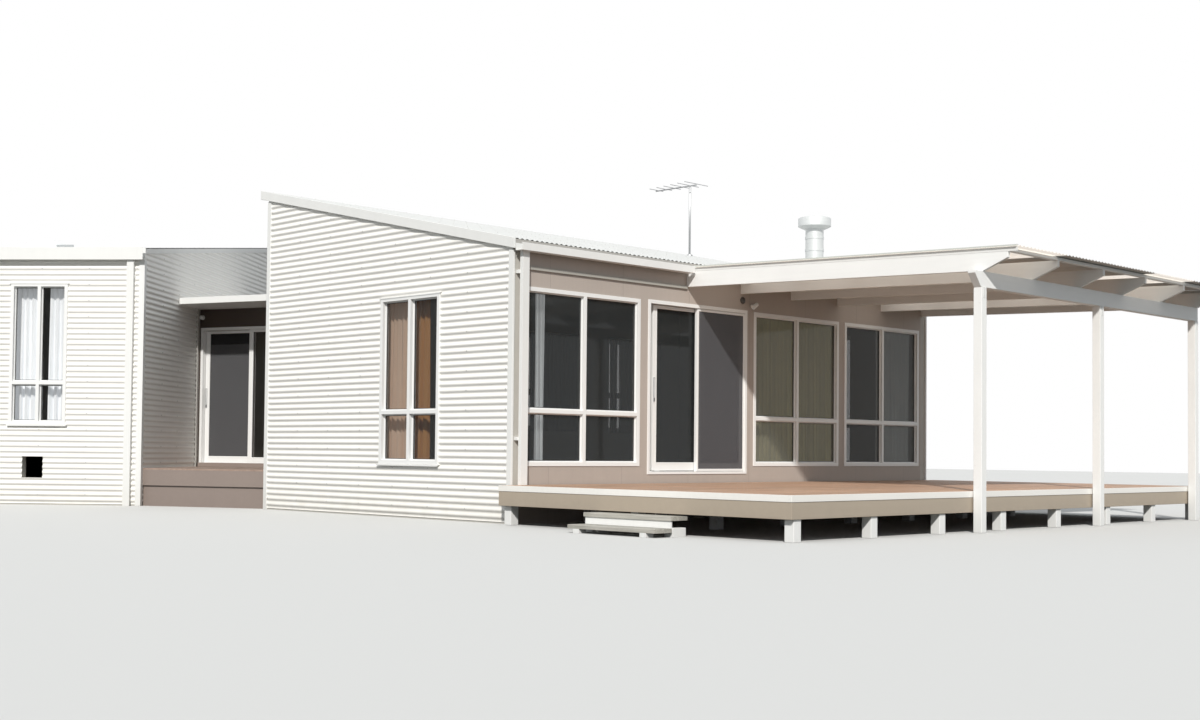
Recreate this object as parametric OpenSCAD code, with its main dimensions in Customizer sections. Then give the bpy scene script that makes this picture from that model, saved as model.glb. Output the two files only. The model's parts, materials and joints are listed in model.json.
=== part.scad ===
// Single-storey beach house of three joined blocks: a main block with a skillion roof, a turned wing,
// and a low glazed link with the entry. A raised deck and an open verandah stand along the main block.
// Millimetres, +Z up. The origin is on the ground under the middle of the main block.

/* [Main block] */
// Length along the deck side
main_len = 8340; // [7800:10:9600]
// Width from the deck side to the back
main_w = 5020; // [4600:10:6000]
// Floor level above the ground
floor_z = 550; // [500:5:800]
// Thickness of the framed floor
floor_t = 150; // [100:5:250]
// Thickness of the clad outer walls
wall_t = 120; // [100:5:180]
// Underside of the roof at the deck side
main_eave_z = 3120; // [3050:5:3400]
// Roof pitch of the main block in degrees
main_pitch = 12.25; // [5:0.25:20]
// Vertical thickness of the roof panels
roof_t = 95; // [70:5:180]
// Roof overhang past the deck wall
eave_over = 60; // [40:5:120]
// Roof overhang past the back wall
back_over = 160; // [60:10:400]
// Roof overhang past the two gable walls
verge_over = 22; // [20:1:120]

/* [Deck side windows and door] */
// Distance from the near corner to the first window
first_window_x = 190; // [180:5:320]
// Distance from the last window to the far corner
last_window_in = 175; // [170:5:320]
// Clear width of wall between one window or door and the next
window_pier = 140; // [120:5:160]
// Sill of the low windows
window_sill_z = 650; // [620:5:900]
// Head of the windows
window_head_z = 2690; // [2500:5:2800]
// Middle of the transom bar
transom_z = 1280; // [1100:5:1500]
// Width of a window frame bar
bar_w = 48; // [30:1:70]
// Depth of a window frame
frame_depth = 70; // [50:5:90]
// Thickness of the glass
glass_t = 6; // [4:1:12]
// How far the frames stand out of the smooth wall
frame_proud = 10; // [2:1:20]
// How far the frames stand out of a corrugated wall
rib_proud = 28; // [20:1:40]

/* [Other windows of the main block] */
// Distance of the gable windows from the front corner
gable_window_x = 1280; // [600:10:2400]
// Width of the gable windows
gable_window_w = 1160; // [800:10:1600]
// Distance of the first back window from the far corner
back_window_x = 700; // [400:10:900]
// Distance of the second back window from the first
back_window_pitch = 2000; // [1700:10:2100]
// How far the sill of the back windows is above the deck side sill
back_sill_up = 500; // [200:10:700]
// How far the transom of the back windows is above the deck side transom
back_transom_up = 480; // [300:10:600]

/* [Sliding doors] */
// Width of the deck doorway
deck_door_w = 1900; // [1600:10:1950]
// Head of the deck door
deck_head_z = 2700; // [2500:5:2800]
// How far the deck door stands open
deck_door_open = 110; // [0:10:300]
// Width of the entry doorway
entry_door_w = 1880; // [1600:10:2100]
// Distance of the entry doorway from the wing wall
entry_door_x = 60; // [60:5:300]
// Head of the entry doorway
entry_head_z = 2690; // [2500:5:2800]
// Width of a door frame jamb
jamb_w = 45; // [30:1:70]
// Height of the door sill
sill_h = 32; // [20:1:60]
// Depth of a door frame
door_frame_depth = 110; // [100:1:119]
// Width of a sash stile
stile_w = 62; // [45:1:90]
// Height of the bottom rail of a sash
rail_h = 90; // [60:1:130]
// Width of the top rail of the entry door's sashes
top_rail_h = 28; // [20:1:70]
// Thickness of a sash
sash_t = 36; // [28:1:38]
// Lap of the two sashes at the middle
sash_lap = 62; // [40:1:90]
// Running clearance round a sash
run_gap = 6; // [5:0.5:10]
// Clearance under the runners
seat_gap = 0.3; // [0.1:0.1:1]
// Length of a runner shoe
runner_len = 90; // [50:5:160]

/* [Wing] */
// Width of the wing, from its front to its back
wing_depth = 6050; // [4300:10:6500]
// Length of the wing
wing_len = 5000; // [4600:10:6500]
// Turn of the wing in degrees
wing_turn = 41; // [36:0.5:48]
// Near corner of the wing along the main block
wing_x = -870; // [-1100:10:-600]
// Near corner of the wing back from the deck wall
wing_y = 6860; // [6600:10:7300]
// Floor level of the wing above the ground
wing_floor_z = 1000; // [900:5:1150]
// Underside of the wing roof at its front
wing_eave_z = 3550; // [3300:5:3700]
// Roof pitch of the wing in degrees
wing_pitch = 7.8; // [3:0.2:12]
// Width of a wing window
wing_window_w = 830; // [600:10:1100]
// Distance of the first wing window from the near corner
wing_window_x = 1085; // [700:5:1300]
// Distance of the second wing window from the first
wing_window_pitch = 2100; // [1500:10:2400]
// Width of the windows on the hidden sides of the wing
wing_back_window_w = 1160; // [800:10:1600]
// Sill of the wing windows
wing_sill_z = 1130; // [1050:5:1400]
// Head of the wing windows
wing_head_z = 3130; // [2900:5:3200]
// Middle of the transom bar of a wing window
wing_transom_z = 1720; // [1500:5:1900]
// Side of the square access hole under the wing floor
hatch_w = 300; // [200:10:400]
// Distance of the access hole from the near corner
hatch_x = 1405; // [1000:5:2500]
// Bottom of the access hole
hatch_z = 380; // [200:10:400]
// Width of the roof light
skylight_w = 620; // [400:10:900]
// Distance of the roof light from the front of the wing
skylight_x = 1300; // [800:10:2400]
// Distance of the roof light from the entry side of the wing
skylight_y = 2030; // [1000:10:4000]

/* [Link and entry] */
// Distance of the entry wall from the wing's near corner
link_start = 2300; // [2200:10:2500]
// Where the entry wall meets the back wall of the main block
link_end = 2130; // [1900:10:2400]
// Depth of the link behind the entry wall
link_depth = 2100; // [1900:10:2150]
// Underside of the link roof
link_roof_z = 2975; // [2900:5:3050]
// Reach of the canopy in front of the entry wall
canopy_reach = 840; // [500:10:1000]
// Thickness of the canopy and the link roof
canopy_t = 95; // [60:5:150]
// Width of the cased openings off the link
cased_w = 900; // [750:10:1000]
// Height of the cased opening into the main room
cased_h = 2100; // [1900:10:2200]
// Top of the entry landing
landing_z = 530; // [450:5:540]
// Height of the threshold board under the entry door
threshold_h = 65; // [40:5:90]
// Depth of the landing's edge board
landing_edge_h = 240; // [150:5:300]

/* [Deck] */
// Top of the deck boards
deck_z = 440; // [380:5:480]
// Reach of the deck from the wall
deck_reach = 4100; // [3600:10:4600]
// How far the deck runs past the near corner
deck_left = 200; // [150:10:400]
// How far the deck runs past the far corner
deck_right = 210; // [150:10:600]
// Thickness of the boards
board_t = 22; // [18:1:40]
// Height of the white edge strip
strip_h = 65; // [40:1:90]
// Height of the edge board under the strip
fascia_h = 160; // [100:5:200]
// Thickness of the edge boards
fascia_t = 20; // [15:1:40]
// Side of a square stump
stump_w = 110; // [80:5:150]
// Number of stumps along the deck
deck_stump_n = 8; // [6:1:12]
// Height of the deck joists
joist_h = 90; // [60:5:140]
// Width of a joist
joist_w = 45; // [35:5:60]
// Spacing of the joists
joist_pitch = 450; // [350:10:600]

/* [Deck steps] */
// Length of a tread
tread_len = 1210; // [1000:10:1600]
// Width of a tread
tread_w = 245; // [200:5:400]
// Thickness of a tread
tread_t = 40; // [30:1:60]
// Top of the lower tread
low_tread_z = 85; // [60:5:130]
// Top of the upper tread
high_tread_z = 200; // [180:2:214]

/* [Verandah] */
// Distance of the first rafter from the near corner
rafter_x = 2940; // [2800:10:3100]
// Number of rafters
rafter_n = 6; // [5:1:6]
// Width of a rafter
rafter_w = 45; // [35:1:70]
// Depth of a rafter
rafter_h = 200; // [150:5:210]
// Underside of a rafter at the wall
rafter_z = 2910; // [2850:5:2960]
// Fall of the verandah roof in degrees
verandah_fall = 1.75; // [1:0.25:2.5]
// Distance of the beam from the wall
beam_y = 4170; // [4165:5:4400]
// Height of the beam
beam_h = 175; // [120:5:240]
// Width of the beam
beam_w = 90; // [60:2:98]
// Side of a square post
post_w = 100; // [80:2:120]
// Reach of the rafter tails past the beam
tail_reach = 340; // [250:10:600]
// Depth of a rafter at its tip
tip_h = 70; // [50:5:120]
// Height of a roof batten
batten_h = 35; // [25:1:50]
// Width of a roof batten
batten_w = 70; // [40:2:90]
// Number of roof battens
batten_n = 6; // [4:1:8]
// Thickness of the verandah roof sheets
sheet_t = 22; // [16:1:40]

/* [Roof fittings] */
// Distance of the flue from the near corner
flue_x = 6900; // [3000:10:7600]
// Distance of the flue from the deck wall
flue_y = 1000; // [600:10:4000]
// Diameter of the flue pipe
flue_d = 270; // [150:10:320]
// Diameter of the flue cowl
cowl_d = 490; // [350:10:600]
// Height of the flue cowl
cowl_h = 210; // [120:10:300]
// Height of the flue above the roof
flue_rise = 940; // [600:10:1200]
// Height of the aerial mast above the roof
mast_rise = 1250; // [600:10:1600]
// Distance of the aerial mast from the far gable wall
mast_in = 380; // [200:10:2000]
// Distance of the aerial mast from the deck wall
mast_y = 4450; // [1500:10:4500]
// Length of the aerial boom
boom_len = 950; // [500:10:1200]
// Length of the longest aerial rod
rod_len = 600; // [300:10:700]
// Number of aerial rods
rod_n = 6; // [3:1:10]
// Width of a roof gutter
gutter_w = 115; // [90:5:150]
// Height of a roof gutter
gutter_h = 85; // [60:5:120]
// Side of a square downpipe
pipe_w = 100; // [50:2:110]
// Width of a corner flashing
corner_w = 60; // [40:5:100]
// Height of the round light beside the deck door
deck_lamp_z = 2825; // [2750:5:2850]
// Height of the light beside the entry door
entry_lamp_z = 2850; // [2800:5:2900]
// Diameter of the round light
lamp_d = 90; // [60:5:110]

/* [Hidden] */
$fn = 48;
eps = 1;
// Leg thickness of the corner flashings, and how far the deck boards stop short of the walls
flash_t = 20;
wall_gap = flash_t + 4;
half_bar = bar_w / 2;
sheet_over = 30;
// Three windows and the door share the deck wall between its two corners
deck_window_w = (main_len - first_window_x - last_window_in - deck_door_w - 3 * window_pier) / 3;
deck_door_x = first_window_x + deck_window_w + window_pier;
deck_door_end = deck_door_x + deck_door_w;
// Deck side windows: distance from the near corner
deck_windows = [first_window_x, deck_door_end + window_pier, deck_door_end + deck_window_w + 2 * window_pier];
// The last rafter stops at the far corner flashing
rafter_pitch = (main_len - corner_w - 2 - rafter_w / 2 - rafter_x) / (rafter_n - 1);
wing_gutter_h = 175;
wing_roof_t = 70;
link_a = [wing_x + link_start * cos(wing_turn), wing_y + link_start * sin(wing_turn)];
link_b = [link_end, main_w];
link_len = norm(link_b - link_a);
link_turn = atan2(link_b[1] - link_a[1], link_b[0] - link_a[0]);
// Sideways run of the wing wall and of the main back wall for each millimetre into the link
wing_run = 1 / tan(wing_turn - link_turn);
main_run = 1 / tan(-link_turn);
// Clearance of the link's pieces from those two walls, measured along the entry wall
wing_seat = seat_gap / sin(wing_turn - link_turn);
main_seat = seat_gap / sin(-link_turn);
// Middles of the cased openings, half way along the link's two inner sides
main_cased_x = link_end + link_depth / sin(-link_turn) / 2;
wing_cased_x = link_start + link_depth / sin(wing_turn - link_turn) / 2;
fall = tan(verandah_fall);

function main_under(y) = main_eave_z + y * tan(main_pitch);
function wall_top(y) = main_under(y) - seat_gap / 10;
function wing_under(x) = wing_eave_z + x * tan(wing_pitch);
function wing_top(x) = wing_under(x) - seat_gap / 10;
function verandah_under(reach) = rafter_z - reach * fall;

// Carries its children from the near corner of the main block to the origin
module site() { translate([-main_len / 2, -main_w / 2, 0]) children(); }
// A wall's own frame: x to the right seen from outside, y into the wall
module deck_side() { site() children(); }
module gable_side() { site() translate([0, main_w, 0]) rotate(-90) children(); }
module back_side() { site() translate([main_len, main_w, 0]) rotate(180) children(); }
module end_side() { site() translate([main_len, 0, 0]) rotate(90) children(); }
module wing() { site() translate([wing_x, wing_y, 0]) rotate(wing_turn) children(); }
module wing_front() { wing() translate([0, wing_len, 0]) rotate(-90) children(); }
module wing_back() { wing() translate([wing_depth, 0, 0]) rotate(90) children(); }
module wing_far() { wing() translate([wing_depth, wing_len, 0]) rotate(180) children(); }
module link() { site() translate([link_a[0], link_a[1], 0]) rotate(link_turn) children(); }

// An outline in x and z, carried back along y from y0 by depth
module upright(outline, depth, y0 = 0) {
    translate([0, y0 + depth, 0]) rotate([90, 0, 0]) linear_extrude(depth) polygon(outline);
}

// An outline in y and z, carried along x from x0 by length
module sideways(outline, length, x0 = 0) {
    translate([x0, 0, 0]) rotate([90, 0, 90]) linear_extrude(length) polygon(outline);
}

// A window is [x, sill height, width, height, columns, transom height, set-out]
module window_holes(list) {
    for (w = list) translate([w[0], -eps, w[1]]) cube([w[2], wall_t + 2 * eps, w[3]]);
}

// Frame of one window: bars round each light, flush with its hole
module window_frame(w) {
    light_w = (w[2] - (w[4] + 1) * bar_w) / w[4];
    low_h = w[5] - w[1] - 1.5 * bar_w;
    high_h = w[1] + w[3] - w[5] - 1.5 * bar_w;
    difference() {
        translate([w[0], -w[6], w[1]]) cube([w[2], frame_depth + w[6], w[3]]);
        for (i = [0 : w[4] - 1]) translate([w[0] + bar_w + i * (light_w + bar_w), -w[6] - eps, 0]) {
            translate([0, 0, w[1] + bar_w]) cube([light_w, frame_depth + w[6] + 2 * eps, low_h]);
            translate([0, 0, w[5] + half_bar]) cube([light_w, frame_depth + w[6] + 2 * eps, high_h]);
        }
    }
}

module window_panes(w) {
    light_w = (w[2] - (w[4] + 1) * bar_w) / w[4];
    low_h = w[5] - w[1] - 1.5 * bar_w;
    high_h = w[1] + w[3] - w[5] - 1.5 * bar_w;
    for (i = [0 : w[4] - 1]) translate([w[0] + bar_w + i * (light_w + bar_w), frame_depth / 2, 0]) {
        translate([0, 0, w[1] + bar_w]) cube([light_w, glass_t, low_h]);
        translate([0, 0, w[5] + half_bar]) cube([light_w, glass_t, high_h]);
    }
}

window_h = window_head_z - window_sill_z;
wing_window_h = wing_head_z - wing_sill_z;
deck_list = [for (x = deck_windows) [x, window_sill_z, deck_window_w, window_h, 2, transom_z, frame_proud]];
gable_list = [[main_w - gable_window_x - gable_window_w, window_sill_z, gable_window_w, window_h, 2,
               transom_z, rib_proud]];
end_list = [[gable_window_x, window_sill_z, gable_window_w, window_h, 2, transom_z, rib_proud]];
back_list = [for (x = [back_window_x, back_window_x + back_window_pitch])
    [x, window_sill_z + back_sill_up, gable_window_w, window_h - back_sill_up, 2,
     transom_z + back_transom_up, rib_proud]];
wing_front_list = [for (y = [wing_window_x, wing_window_x + wing_window_pitch])
    [wing_len - y - wing_window_w, wing_sill_z, wing_window_w, wing_window_h, 2, wing_transom_z,
     rib_proud]];
wing_back_list = [[(wing_len - wing_back_window_w) / 2, wing_sill_z, wing_back_window_w, wing_window_h, 2,
                   wing_transom_z, rib_proud]];
wing_far_list = [[(wing_depth - wing_back_window_w) / 2, wing_sill_z, wing_back_window_w, wing_window_h, 2,
                  wing_transom_z, rib_proud]];

// Floors and stumps
module main_floor() {
    color("burlywood") site() translate([wall_t, wall_t, floor_z - floor_t])
        cube([main_len - 2 * wall_t, main_w - 2 * wall_t, floor_t]);
}

module stump(x, y, top) {
    translate([x - stump_w / 2, y - stump_w / 2, 0]) cube([stump_w, stump_w, top]);
}

module floor_stumps() {
    color("gainsboro") {
        site() for (i = [-2 : 2]) for (j = [-1 : 1])
            stump(main_len / 2 + i * main_len / 5, main_w / 2 + j * main_w / 3, floor_z - floor_t);
        wing() for (i = [0.25, 0.75]) for (j = [0.2, 0.5, 0.8])
            stump(i * wing_depth, j * wing_len, wing_floor_z - floor_t);
        link() for (i = [0.25, 0.75]) stump(i * link_len, link_depth / 2, floor_z - floor_t);
    }
}

module wing_floor() {
    color("burlywood") wing() translate([wall_t, wall_t, wing_floor_z - floor_t])
        cube([wing_depth - 2 * wall_t, wing_len - 2 * wall_t, floor_t]);
}

// Where the link meets the wing and the main block, at a distance behind its entry wall
function link_left(y) = wing_seat + y * wing_run;
function link_right(y) = link_len - main_seat + y * main_run;
// Plan of the link between two distances behind its entry wall, cut to the two blocks beside it
function link_plan(y0, y1) = [[link_left(y0), y0], [link_right(y0), y0], [link_right(y1), y1],
                              [link_left(y1), y1]];

module link_floor() {
    color("burlywood") link() translate([0, 0, floor_z - floor_t]) linear_extrude(floor_t)
        polygon(link_plan(wall_t, link_depth - wall_t));
}

// Main block walls
module gable_shape(windows) {
    difference() {
        children();
        window_holes(windows);
    }
}

module gable_wall() {
    color("ivory") gable_side() gable_shape(gable_list)
        upright([[0, 0], [main_w, 0], [main_w, wall_top(0)], [0, wall_top(main_w)]], wall_t);
}

module end_wall() {
    color("ivory") end_side() gable_shape(end_list)
        upright([[0, 0], [main_w, 0], [main_w, wall_top(main_w)], [0, wall_top(0)]], wall_t);
}

// Stretch of the deck side wall between two distances, from z0 to the roof
module deck_wall(x0, x1, z0 = 0) {
    sideways([[0, z0], [wall_t, z0], [wall_t, wall_top(wall_t)], [0, wall_top(0)]], x1 - x0, x0);
}

module deck_wall_left() {
    color("rosybrown") deck_side() gable_shape([deck_list[0]]) deck_wall(wall_t, deck_door_x);
}

module deck_wall_right() {
    color("rosybrown") deck_side() gable_shape([deck_list[1], deck_list[2]])
        deck_wall(deck_door_x + deck_door_w, main_len - wall_t);
}

module deck_door_surround() {
    color("rosybrown") deck_side() {
        deck_wall(deck_door_x, deck_door_x + deck_door_w, deck_head_z);
        translate([deck_door_x, 0, 0]) cube([deck_door_w, wall_t, floor_z]);
    }
}

module back_wall() {
    color("ivory") difference() {
        site() sideways([[main_w - wall_t, 0], [main_w, 0], [main_w, wall_top(main_w)],
                         [main_w - wall_t, wall_top(main_w - wall_t)]], main_len - 2 * wall_t, wall_t);
        back_side() window_holes(back_list);
        site() translate([main_cased_x - cased_w / 2, main_w - wall_t - eps, floor_z])
            cube([cased_w, wall_t + 2 * eps, cased_h]);
    }
}

// Main roof with its white edges
module main_roof() {
    color("whitesmoke") site() sideways([[-eave_over, main_under(-eave_over)],
        [main_w + back_over, main_under(main_w + back_over)],
        [main_w + back_over, main_under(main_w + back_over) + roof_t],
        [-eave_over, main_under(-eave_over) + roof_t]], main_len + 2 * verge_over, -verge_over);
}

barge_t = 24;
barge_drop = 12;
module barge_caps() {
    y0 = -eave_over;
    y1 = main_w + back_over;
    edge = [[y0, main_under(y0) - barge_drop], [y1, main_under(y1) - barge_drop],
            [y1, main_under(y1) + roof_t + barge_drop], [y0, main_under(y0) + roof_t + barge_drop]];
    color("white") site() {
        sideways(edge, barge_t, -verge_over - barge_t);
        sideways(edge, barge_t, main_len + verge_over);
        translate([-verge_over, y1, main_under(y1) - barge_drop])
            cube([main_len + 2 * verge_over, barge_t, roof_t + 2 * barge_drop]);
    }
}

// L-shaped flashing round an outer corner at the frame's origin, legs along +x and +y
lip_w = 10;
module flashing(h0, h1, x_leg = corner_w, y_leg = corner_w) {
    translate([0, 0, h0]) linear_extrude(h1 - h0)
        polygon([[-flash_t, -flash_t], [x_leg, -flash_t], [x_leg, 0], [0, 0],
                 [0, y_leg], [-flash_t, y_leg]]);
}

module corner_trims() {
    gap = barge_drop + 8;
    low = main_under(-corner_w) - gap;
    high = main_under(main_w - corner_w) - gap;
    color("white") {
        site() flashing(0, low, x_leg = lip_w);
        site() translate([main_len, 0, 0]) rotate(90) flashing(0, low, y_leg = lip_w);
        site() translate([main_len, main_w, 0]) rotate(180) flashing(0, high);
        site() translate([0, main_w, 0]) rotate(-90) flashing(0, high);
        wing() flashing(0, wing_gutter_z - seat_gap);
        wing() translate([wing_depth, 0, 0]) rotate(90) flashing(0, wing_under(wing_depth - corner_w) - gap);
        wing() translate([wing_depth, wing_len, 0]) rotate(180)
            flashing(0, wing_under(wing_depth - corner_w) - gap);
        wing() translate([0, wing_len, 0]) rotate(-90) flashing(0, wing_gutter_z - seat_gap);
    }
}

// Gutter: an open channel with a rolled front lip
sheet = 4;
module gutter(length, h) {
    upright_h = h - 2 * sheet;
    sideways([[0, 0], [0, h], [-sheet, h], [-sheet, sheet], [-gutter_w + sheet, sheet],
              [-gutter_w + sheet, upright_h], [-gutter_w + 3 * sheet, upright_h],
              [-gutter_w + 3 * sheet, h], [-gutter_w, h], [-gutter_w, 0]], length);
}

gutter_drop = 37;
main_gutter_z = main_under(-eave_over) - gutter_drop;
wing_gutter_z = wing_eave_z - 95;
module gutters() {
    color("white") {
        site() translate([-verge_over, -eave_over, main_gutter_z])
            gutter(rafter_x - rafter_w / 2 - sheet_over - 2 + verge_over, gutter_h);
        wing_front() translate([-verge_over, 0, wing_gutter_z])
            gutter(wing_len + 2 * verge_over, wing_gutter_h);
    }
}

// Flat downpipe standing off the wall under its gutter, held by straps
pipe_d = 50;
main_pipe_off = eave_over + 2;
wing_pipe_off = 24;
strap_w = 12;
strap_h = 40;
strap_from_foot = 500;
strap_from_top = 250;
module downpipe(x, off, foot, top) {
    translate([x, -pipe_d - off, foot]) difference() {
        cube([pipe_w, pipe_d, top - foot]);
        translate([sheet, sheet, -eps])
            cube([pipe_w - 2 * sheet, pipe_d - 2 * sheet, top - foot + 2 * eps]);
    }
    for (z = [foot + strap_from_foot, top - strap_from_top])
        translate([x - strap_w, -off, z]) cube([pipe_w + 2 * strap_w, off, strap_h]);
}
pipe_x = corner_w - strap_w - 2;
wing_pipe_in = 120;

module downpipes() {
    color("white") {
        site() downpipe(pipe_x, main_pipe_off, deck_z, main_gutter_z);
        wing_front() downpipe(wing_len - wing_pipe_in - pipe_w, wing_pipe_off, 0, wing_gutter_z);
    }
}

// Window frames and glass
module main_window_frames() {
    color("white") {
        deck_side() for (w = deck_list) window_frame(w);
        gable_side() for (w = gable_list) window_frame(w);
        end_side() for (w = end_list) window_frame(w);
        back_side() for (w = back_list) window_frame(w);
    }
}

module wing_window_frames() {
    color("white") {
        wing_front() for (w = wing_front_list) window_frame(w);
        wing_back() for (w = wing_back_list) window_frame(w);
        wing_far() for (w = wing_far_list) window_frame(w);
    }
}

module window_glass() {
    color("slategray") {
        deck_side() for (w = deck_list) window_panes(w);
        gable_side() for (w = gable_list) window_panes(w);
        end_side() for (w = end_list) window_panes(w);
        back_side() for (w = back_list) window_panes(w);
        wing_front() for (w = wing_front_list) window_panes(w);
        wing_back() for (w = wing_back_list) window_panes(w);
        wing_far() for (w = wing_far_list) window_panes(w);
        deck_side() translate([deck_door_x, 0, 0]) fixed_pane(deck_door_w, floor_z, deck_head_z, top_rail_h);
        link() translate([entry_door_x, 0, 0]) fixed_pane(entry_door_w, floor_z, entry_head_z, top_rail_h);
    }
}

// Sliding doors: x from the left jamb, y into the wall
track_h = 6;
outer_y = 14;
inner_y = outer_y + sash_t + 12;
function sash_w(w) = (w - 2 * jamb_w - run_gap + sash_lap) / 2;
function sash_low(z) = z + sill_h + track_h + run_gap;
function sash_high(z) = z - jamb_w - run_gap;

module door_frame(w, z0, z1) {
    difference() {
        translate([0, -frame_proud, z0]) cube([w, door_frame_depth + frame_proud, z1 - z0]);
        translate([jamb_w, -frame_proud - eps, z0 + sill_h])
            cube([w - 2 * jamb_w, door_frame_depth + frame_proud + 2 * eps, z1 - z0 - sill_h - jamb_w]);
    }
    translate([jamb_w, inner_y + sash_t / 2 - 4, z0 + sill_h]) cube([w - 2 * jamb_w, 8, track_h]);
}

module sash(w, h, top_rail = stile_w) {
    difference() {
        cube([w, sash_t, h]);
        translate([stile_w, -eps, rail_h]) cube([w - 2 * stile_w, sash_t + 2 * eps, h - rail_h - top_rail]);
    }
}

module sash_pane(w, h, top_rail = stile_w) {
    translate([stile_w, (sash_t - glass_t) / 2, rail_h])
        cube([w - 2 * stile_w, glass_t, h - rail_h - top_rail]);
}

// Fixed panel on the right, in the outer track, filling its side of the frame
module fixed_place(w, z0) { translate([w - jamb_w - sash_w(w), outer_y, z0 + sill_h]) children(); }
module fixed_panel(w, z0, z1, top_rail = stile_w) {
    fixed_place(w, z0) sash(sash_w(w), z1 - z0 - sill_h - jamb_w, top_rail);
}
module fixed_pane(w, z0, z1, top_rail = stile_w) {
    fixed_place(w, z0) sash_pane(sash_w(w), z1 - z0 - sill_h - jamb_w, top_rail);
}

// Sliding panel on the left, in the inner track, with two runners over the track and a flush pull
handle_w = 20;
handle_h = 260;
handle_t = 6;
handle_z = 900;
module moving_place(z0) { translate([jamb_w + run_gap, inner_y, sash_low(z0)]) children(); }
module moving_sash(w, z0, z1, top_rail = stile_w) {
    h = sash_high(z1) - sash_low(z0);
    moving_place(z0) {
        sash(sash_w(w), h, top_rail);
        for (x = [stile_w, sash_w(w) - stile_w - runner_len])
            translate([x, sash_t / 2 - 5, -run_gap + seat_gap]) cube([runner_len, 10, run_gap + eps]);
        translate([stile_w / 5, -handle_t, handle_z]) cube([handle_w, handle_t + eps, handle_h]);
    }
}
module moving_pane(w, z0, z1, top_rail = stile_w) {
    moving_place(z0) sash_pane(sash_w(w), sash_high(z1) - sash_low(z0), top_rail);
}

module deck_door_frame() {
    color("white") deck_side() translate([deck_door_x, 0, 0]) door_frame(deck_door_w, floor_z, deck_head_z);
}
module entry_door_frame() {
    color("white") link() translate([entry_door_x, 0, 0]) door_frame(entry_door_w, floor_z, entry_head_z);
}
module fixed_door_panels() {
    color("white") {
        deck_side() translate([deck_door_x, 0, 0]) fixed_panel(deck_door_w, floor_z, deck_head_z, top_rail_h);
        link() translate([entry_door_x, 0, 0]) fixed_panel(entry_door_w, floor_z, entry_head_z, top_rail_h);
    }
}
module deck_door_sash() {
    color("white") deck_side() translate([deck_door_x + deck_door_open, 0, 0])
        moving_sash(deck_door_w, floor_z, deck_head_z, top_rail_h);
}
module deck_door_glass() {
    color("slategray") deck_side() translate([deck_door_x + deck_door_open, 0, 0])
        moving_pane(deck_door_w, floor_z, deck_head_z, top_rail_h);
}
module entry_door_sash() {
    color("white") link() translate([entry_door_x, 0, 0])
        moving_sash(entry_door_w, floor_z, entry_head_z, top_rail_h);
}
module entry_door_glass() {
    color("slategray") link() translate([entry_door_x, 0, 0])
        moving_pane(entry_door_w, floor_z, entry_head_z, top_rail_h);
}

// Trim of the deck wall: a batten under the eave, from the downpipe to the first rafter
trim_t = 24;
trim_h = 40;
trim_z = 2880;
trim_x = pipe_x + pipe_w + strap_w + 2;
module deck_wall_trim() {
    color("lightgray") deck_side() translate([trim_x, -trim_t, trim_z])
        cube([rafter_x - rafter_w / 2 - 2 - trim_x, trim_t, trim_h]);
}

// Link walls, entry wall on the near side
module link_block(y0, y1, z0, z1) {
    translate([0, 0, z0]) linear_extrude(z1 - z0) polygon(link_plan(y0, y1));
}

module link_walls() {
    door_right = entry_door_x + entry_door_w;
    color("dimgray") link() {
        linear_extrude(link_roof_z) polygon([[link_left(0), 0], [entry_door_x, 0], [entry_door_x, wall_t],
                                             [link_left(wall_t), wall_t]]);
        linear_extrude(link_roof_z) polygon([[door_right, 0], [link_right(0), 0],
                                             [link_right(wall_t), wall_t], [door_right, wall_t]]);
        link_block(link_depth - wall_t, link_depth, 0, link_roof_z);
    }
}

module link_wall_over() {
    color("dimgray") link() {
        translate([entry_door_x, 0, entry_head_z]) cube([entry_door_w, wall_t, link_roof_z - entry_head_z]);
        translate([entry_door_x, 0, 0]) cube([entry_door_w, wall_t, floor_z]);
    }
}

module link_roof() {
    color("whitesmoke") link() link_block(0, link_depth + 80, link_roof_z, link_roof_z + canopy_t);
}

module entry_canopy() {
    color("white") link() link_block(-canopy_reach, 0, link_roof_z, link_roof_z + canopy_t);
}

// Landing between the wing's corner and the main block's corner, clear of their flashings
landing_in = corner_w + 6;
// A point at a distance along the wing's entry wall, just clear of it
function wing_foot(along) = [wing_x + along * cos(wing_turn) + seat_gap * sin(wing_turn),
                             wing_y + along * sin(wing_turn) - seat_gap * cos(wing_turn)];
landing_near = wing_foot(landing_in);
landing_far = [landing_in, main_w + flash_t];
landing_back = [link_end - 8, main_w + flash_t];
landing_joist_len = 900;
skirt_in = 30;
landing_w = norm(landing_far - landing_near);
landing_turn = atan2(landing_far[1] - landing_near[1], landing_far[0] - landing_near[0]);
module entry_landing() {
    color("tan") site() {
        translate([0, 0, landing_z - board_t]) linear_extrude(board_t)
            polygon([landing_near, landing_far, landing_back, wing_foot(link_start - 1)]);
        translate([landing_near[0], landing_near[1], 0]) rotate(landing_turn) {
            translate([0, 0, landing_z - landing_edge_h])
                cube([landing_w - fascia_t, fascia_t, landing_edge_h - board_t]);
            translate([0, skirt_in, 0]) cube([landing_w - 2 * fascia_t, fascia_t, landing_z - board_t]);
            for (x = [0.3, 0.75] * landing_w) translate([x, fascia_t - eps, landing_z - landing_edge_h])
                cube([joist_w, landing_joist_len, landing_edge_h - board_t]);
        }
    }
    color("tan") link() translate([entry_door_x, -frame_proud - board_t - seat_gap, landing_z + seat_gap])
        cube([entry_door_w, board_t, threshold_h]);
}

// Wing walls and roof
// Wall across the wing's slope between two distances from its front, its top following the roof
module wing_cross_wall(x0, y0, length) {
    x1 = x0 + wall_t;
    wing() upright([[x0, 0], [x1, 0], [x1, wing_top(x1)], [x0, wing_top(x0)]], length, y0);
}

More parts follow.
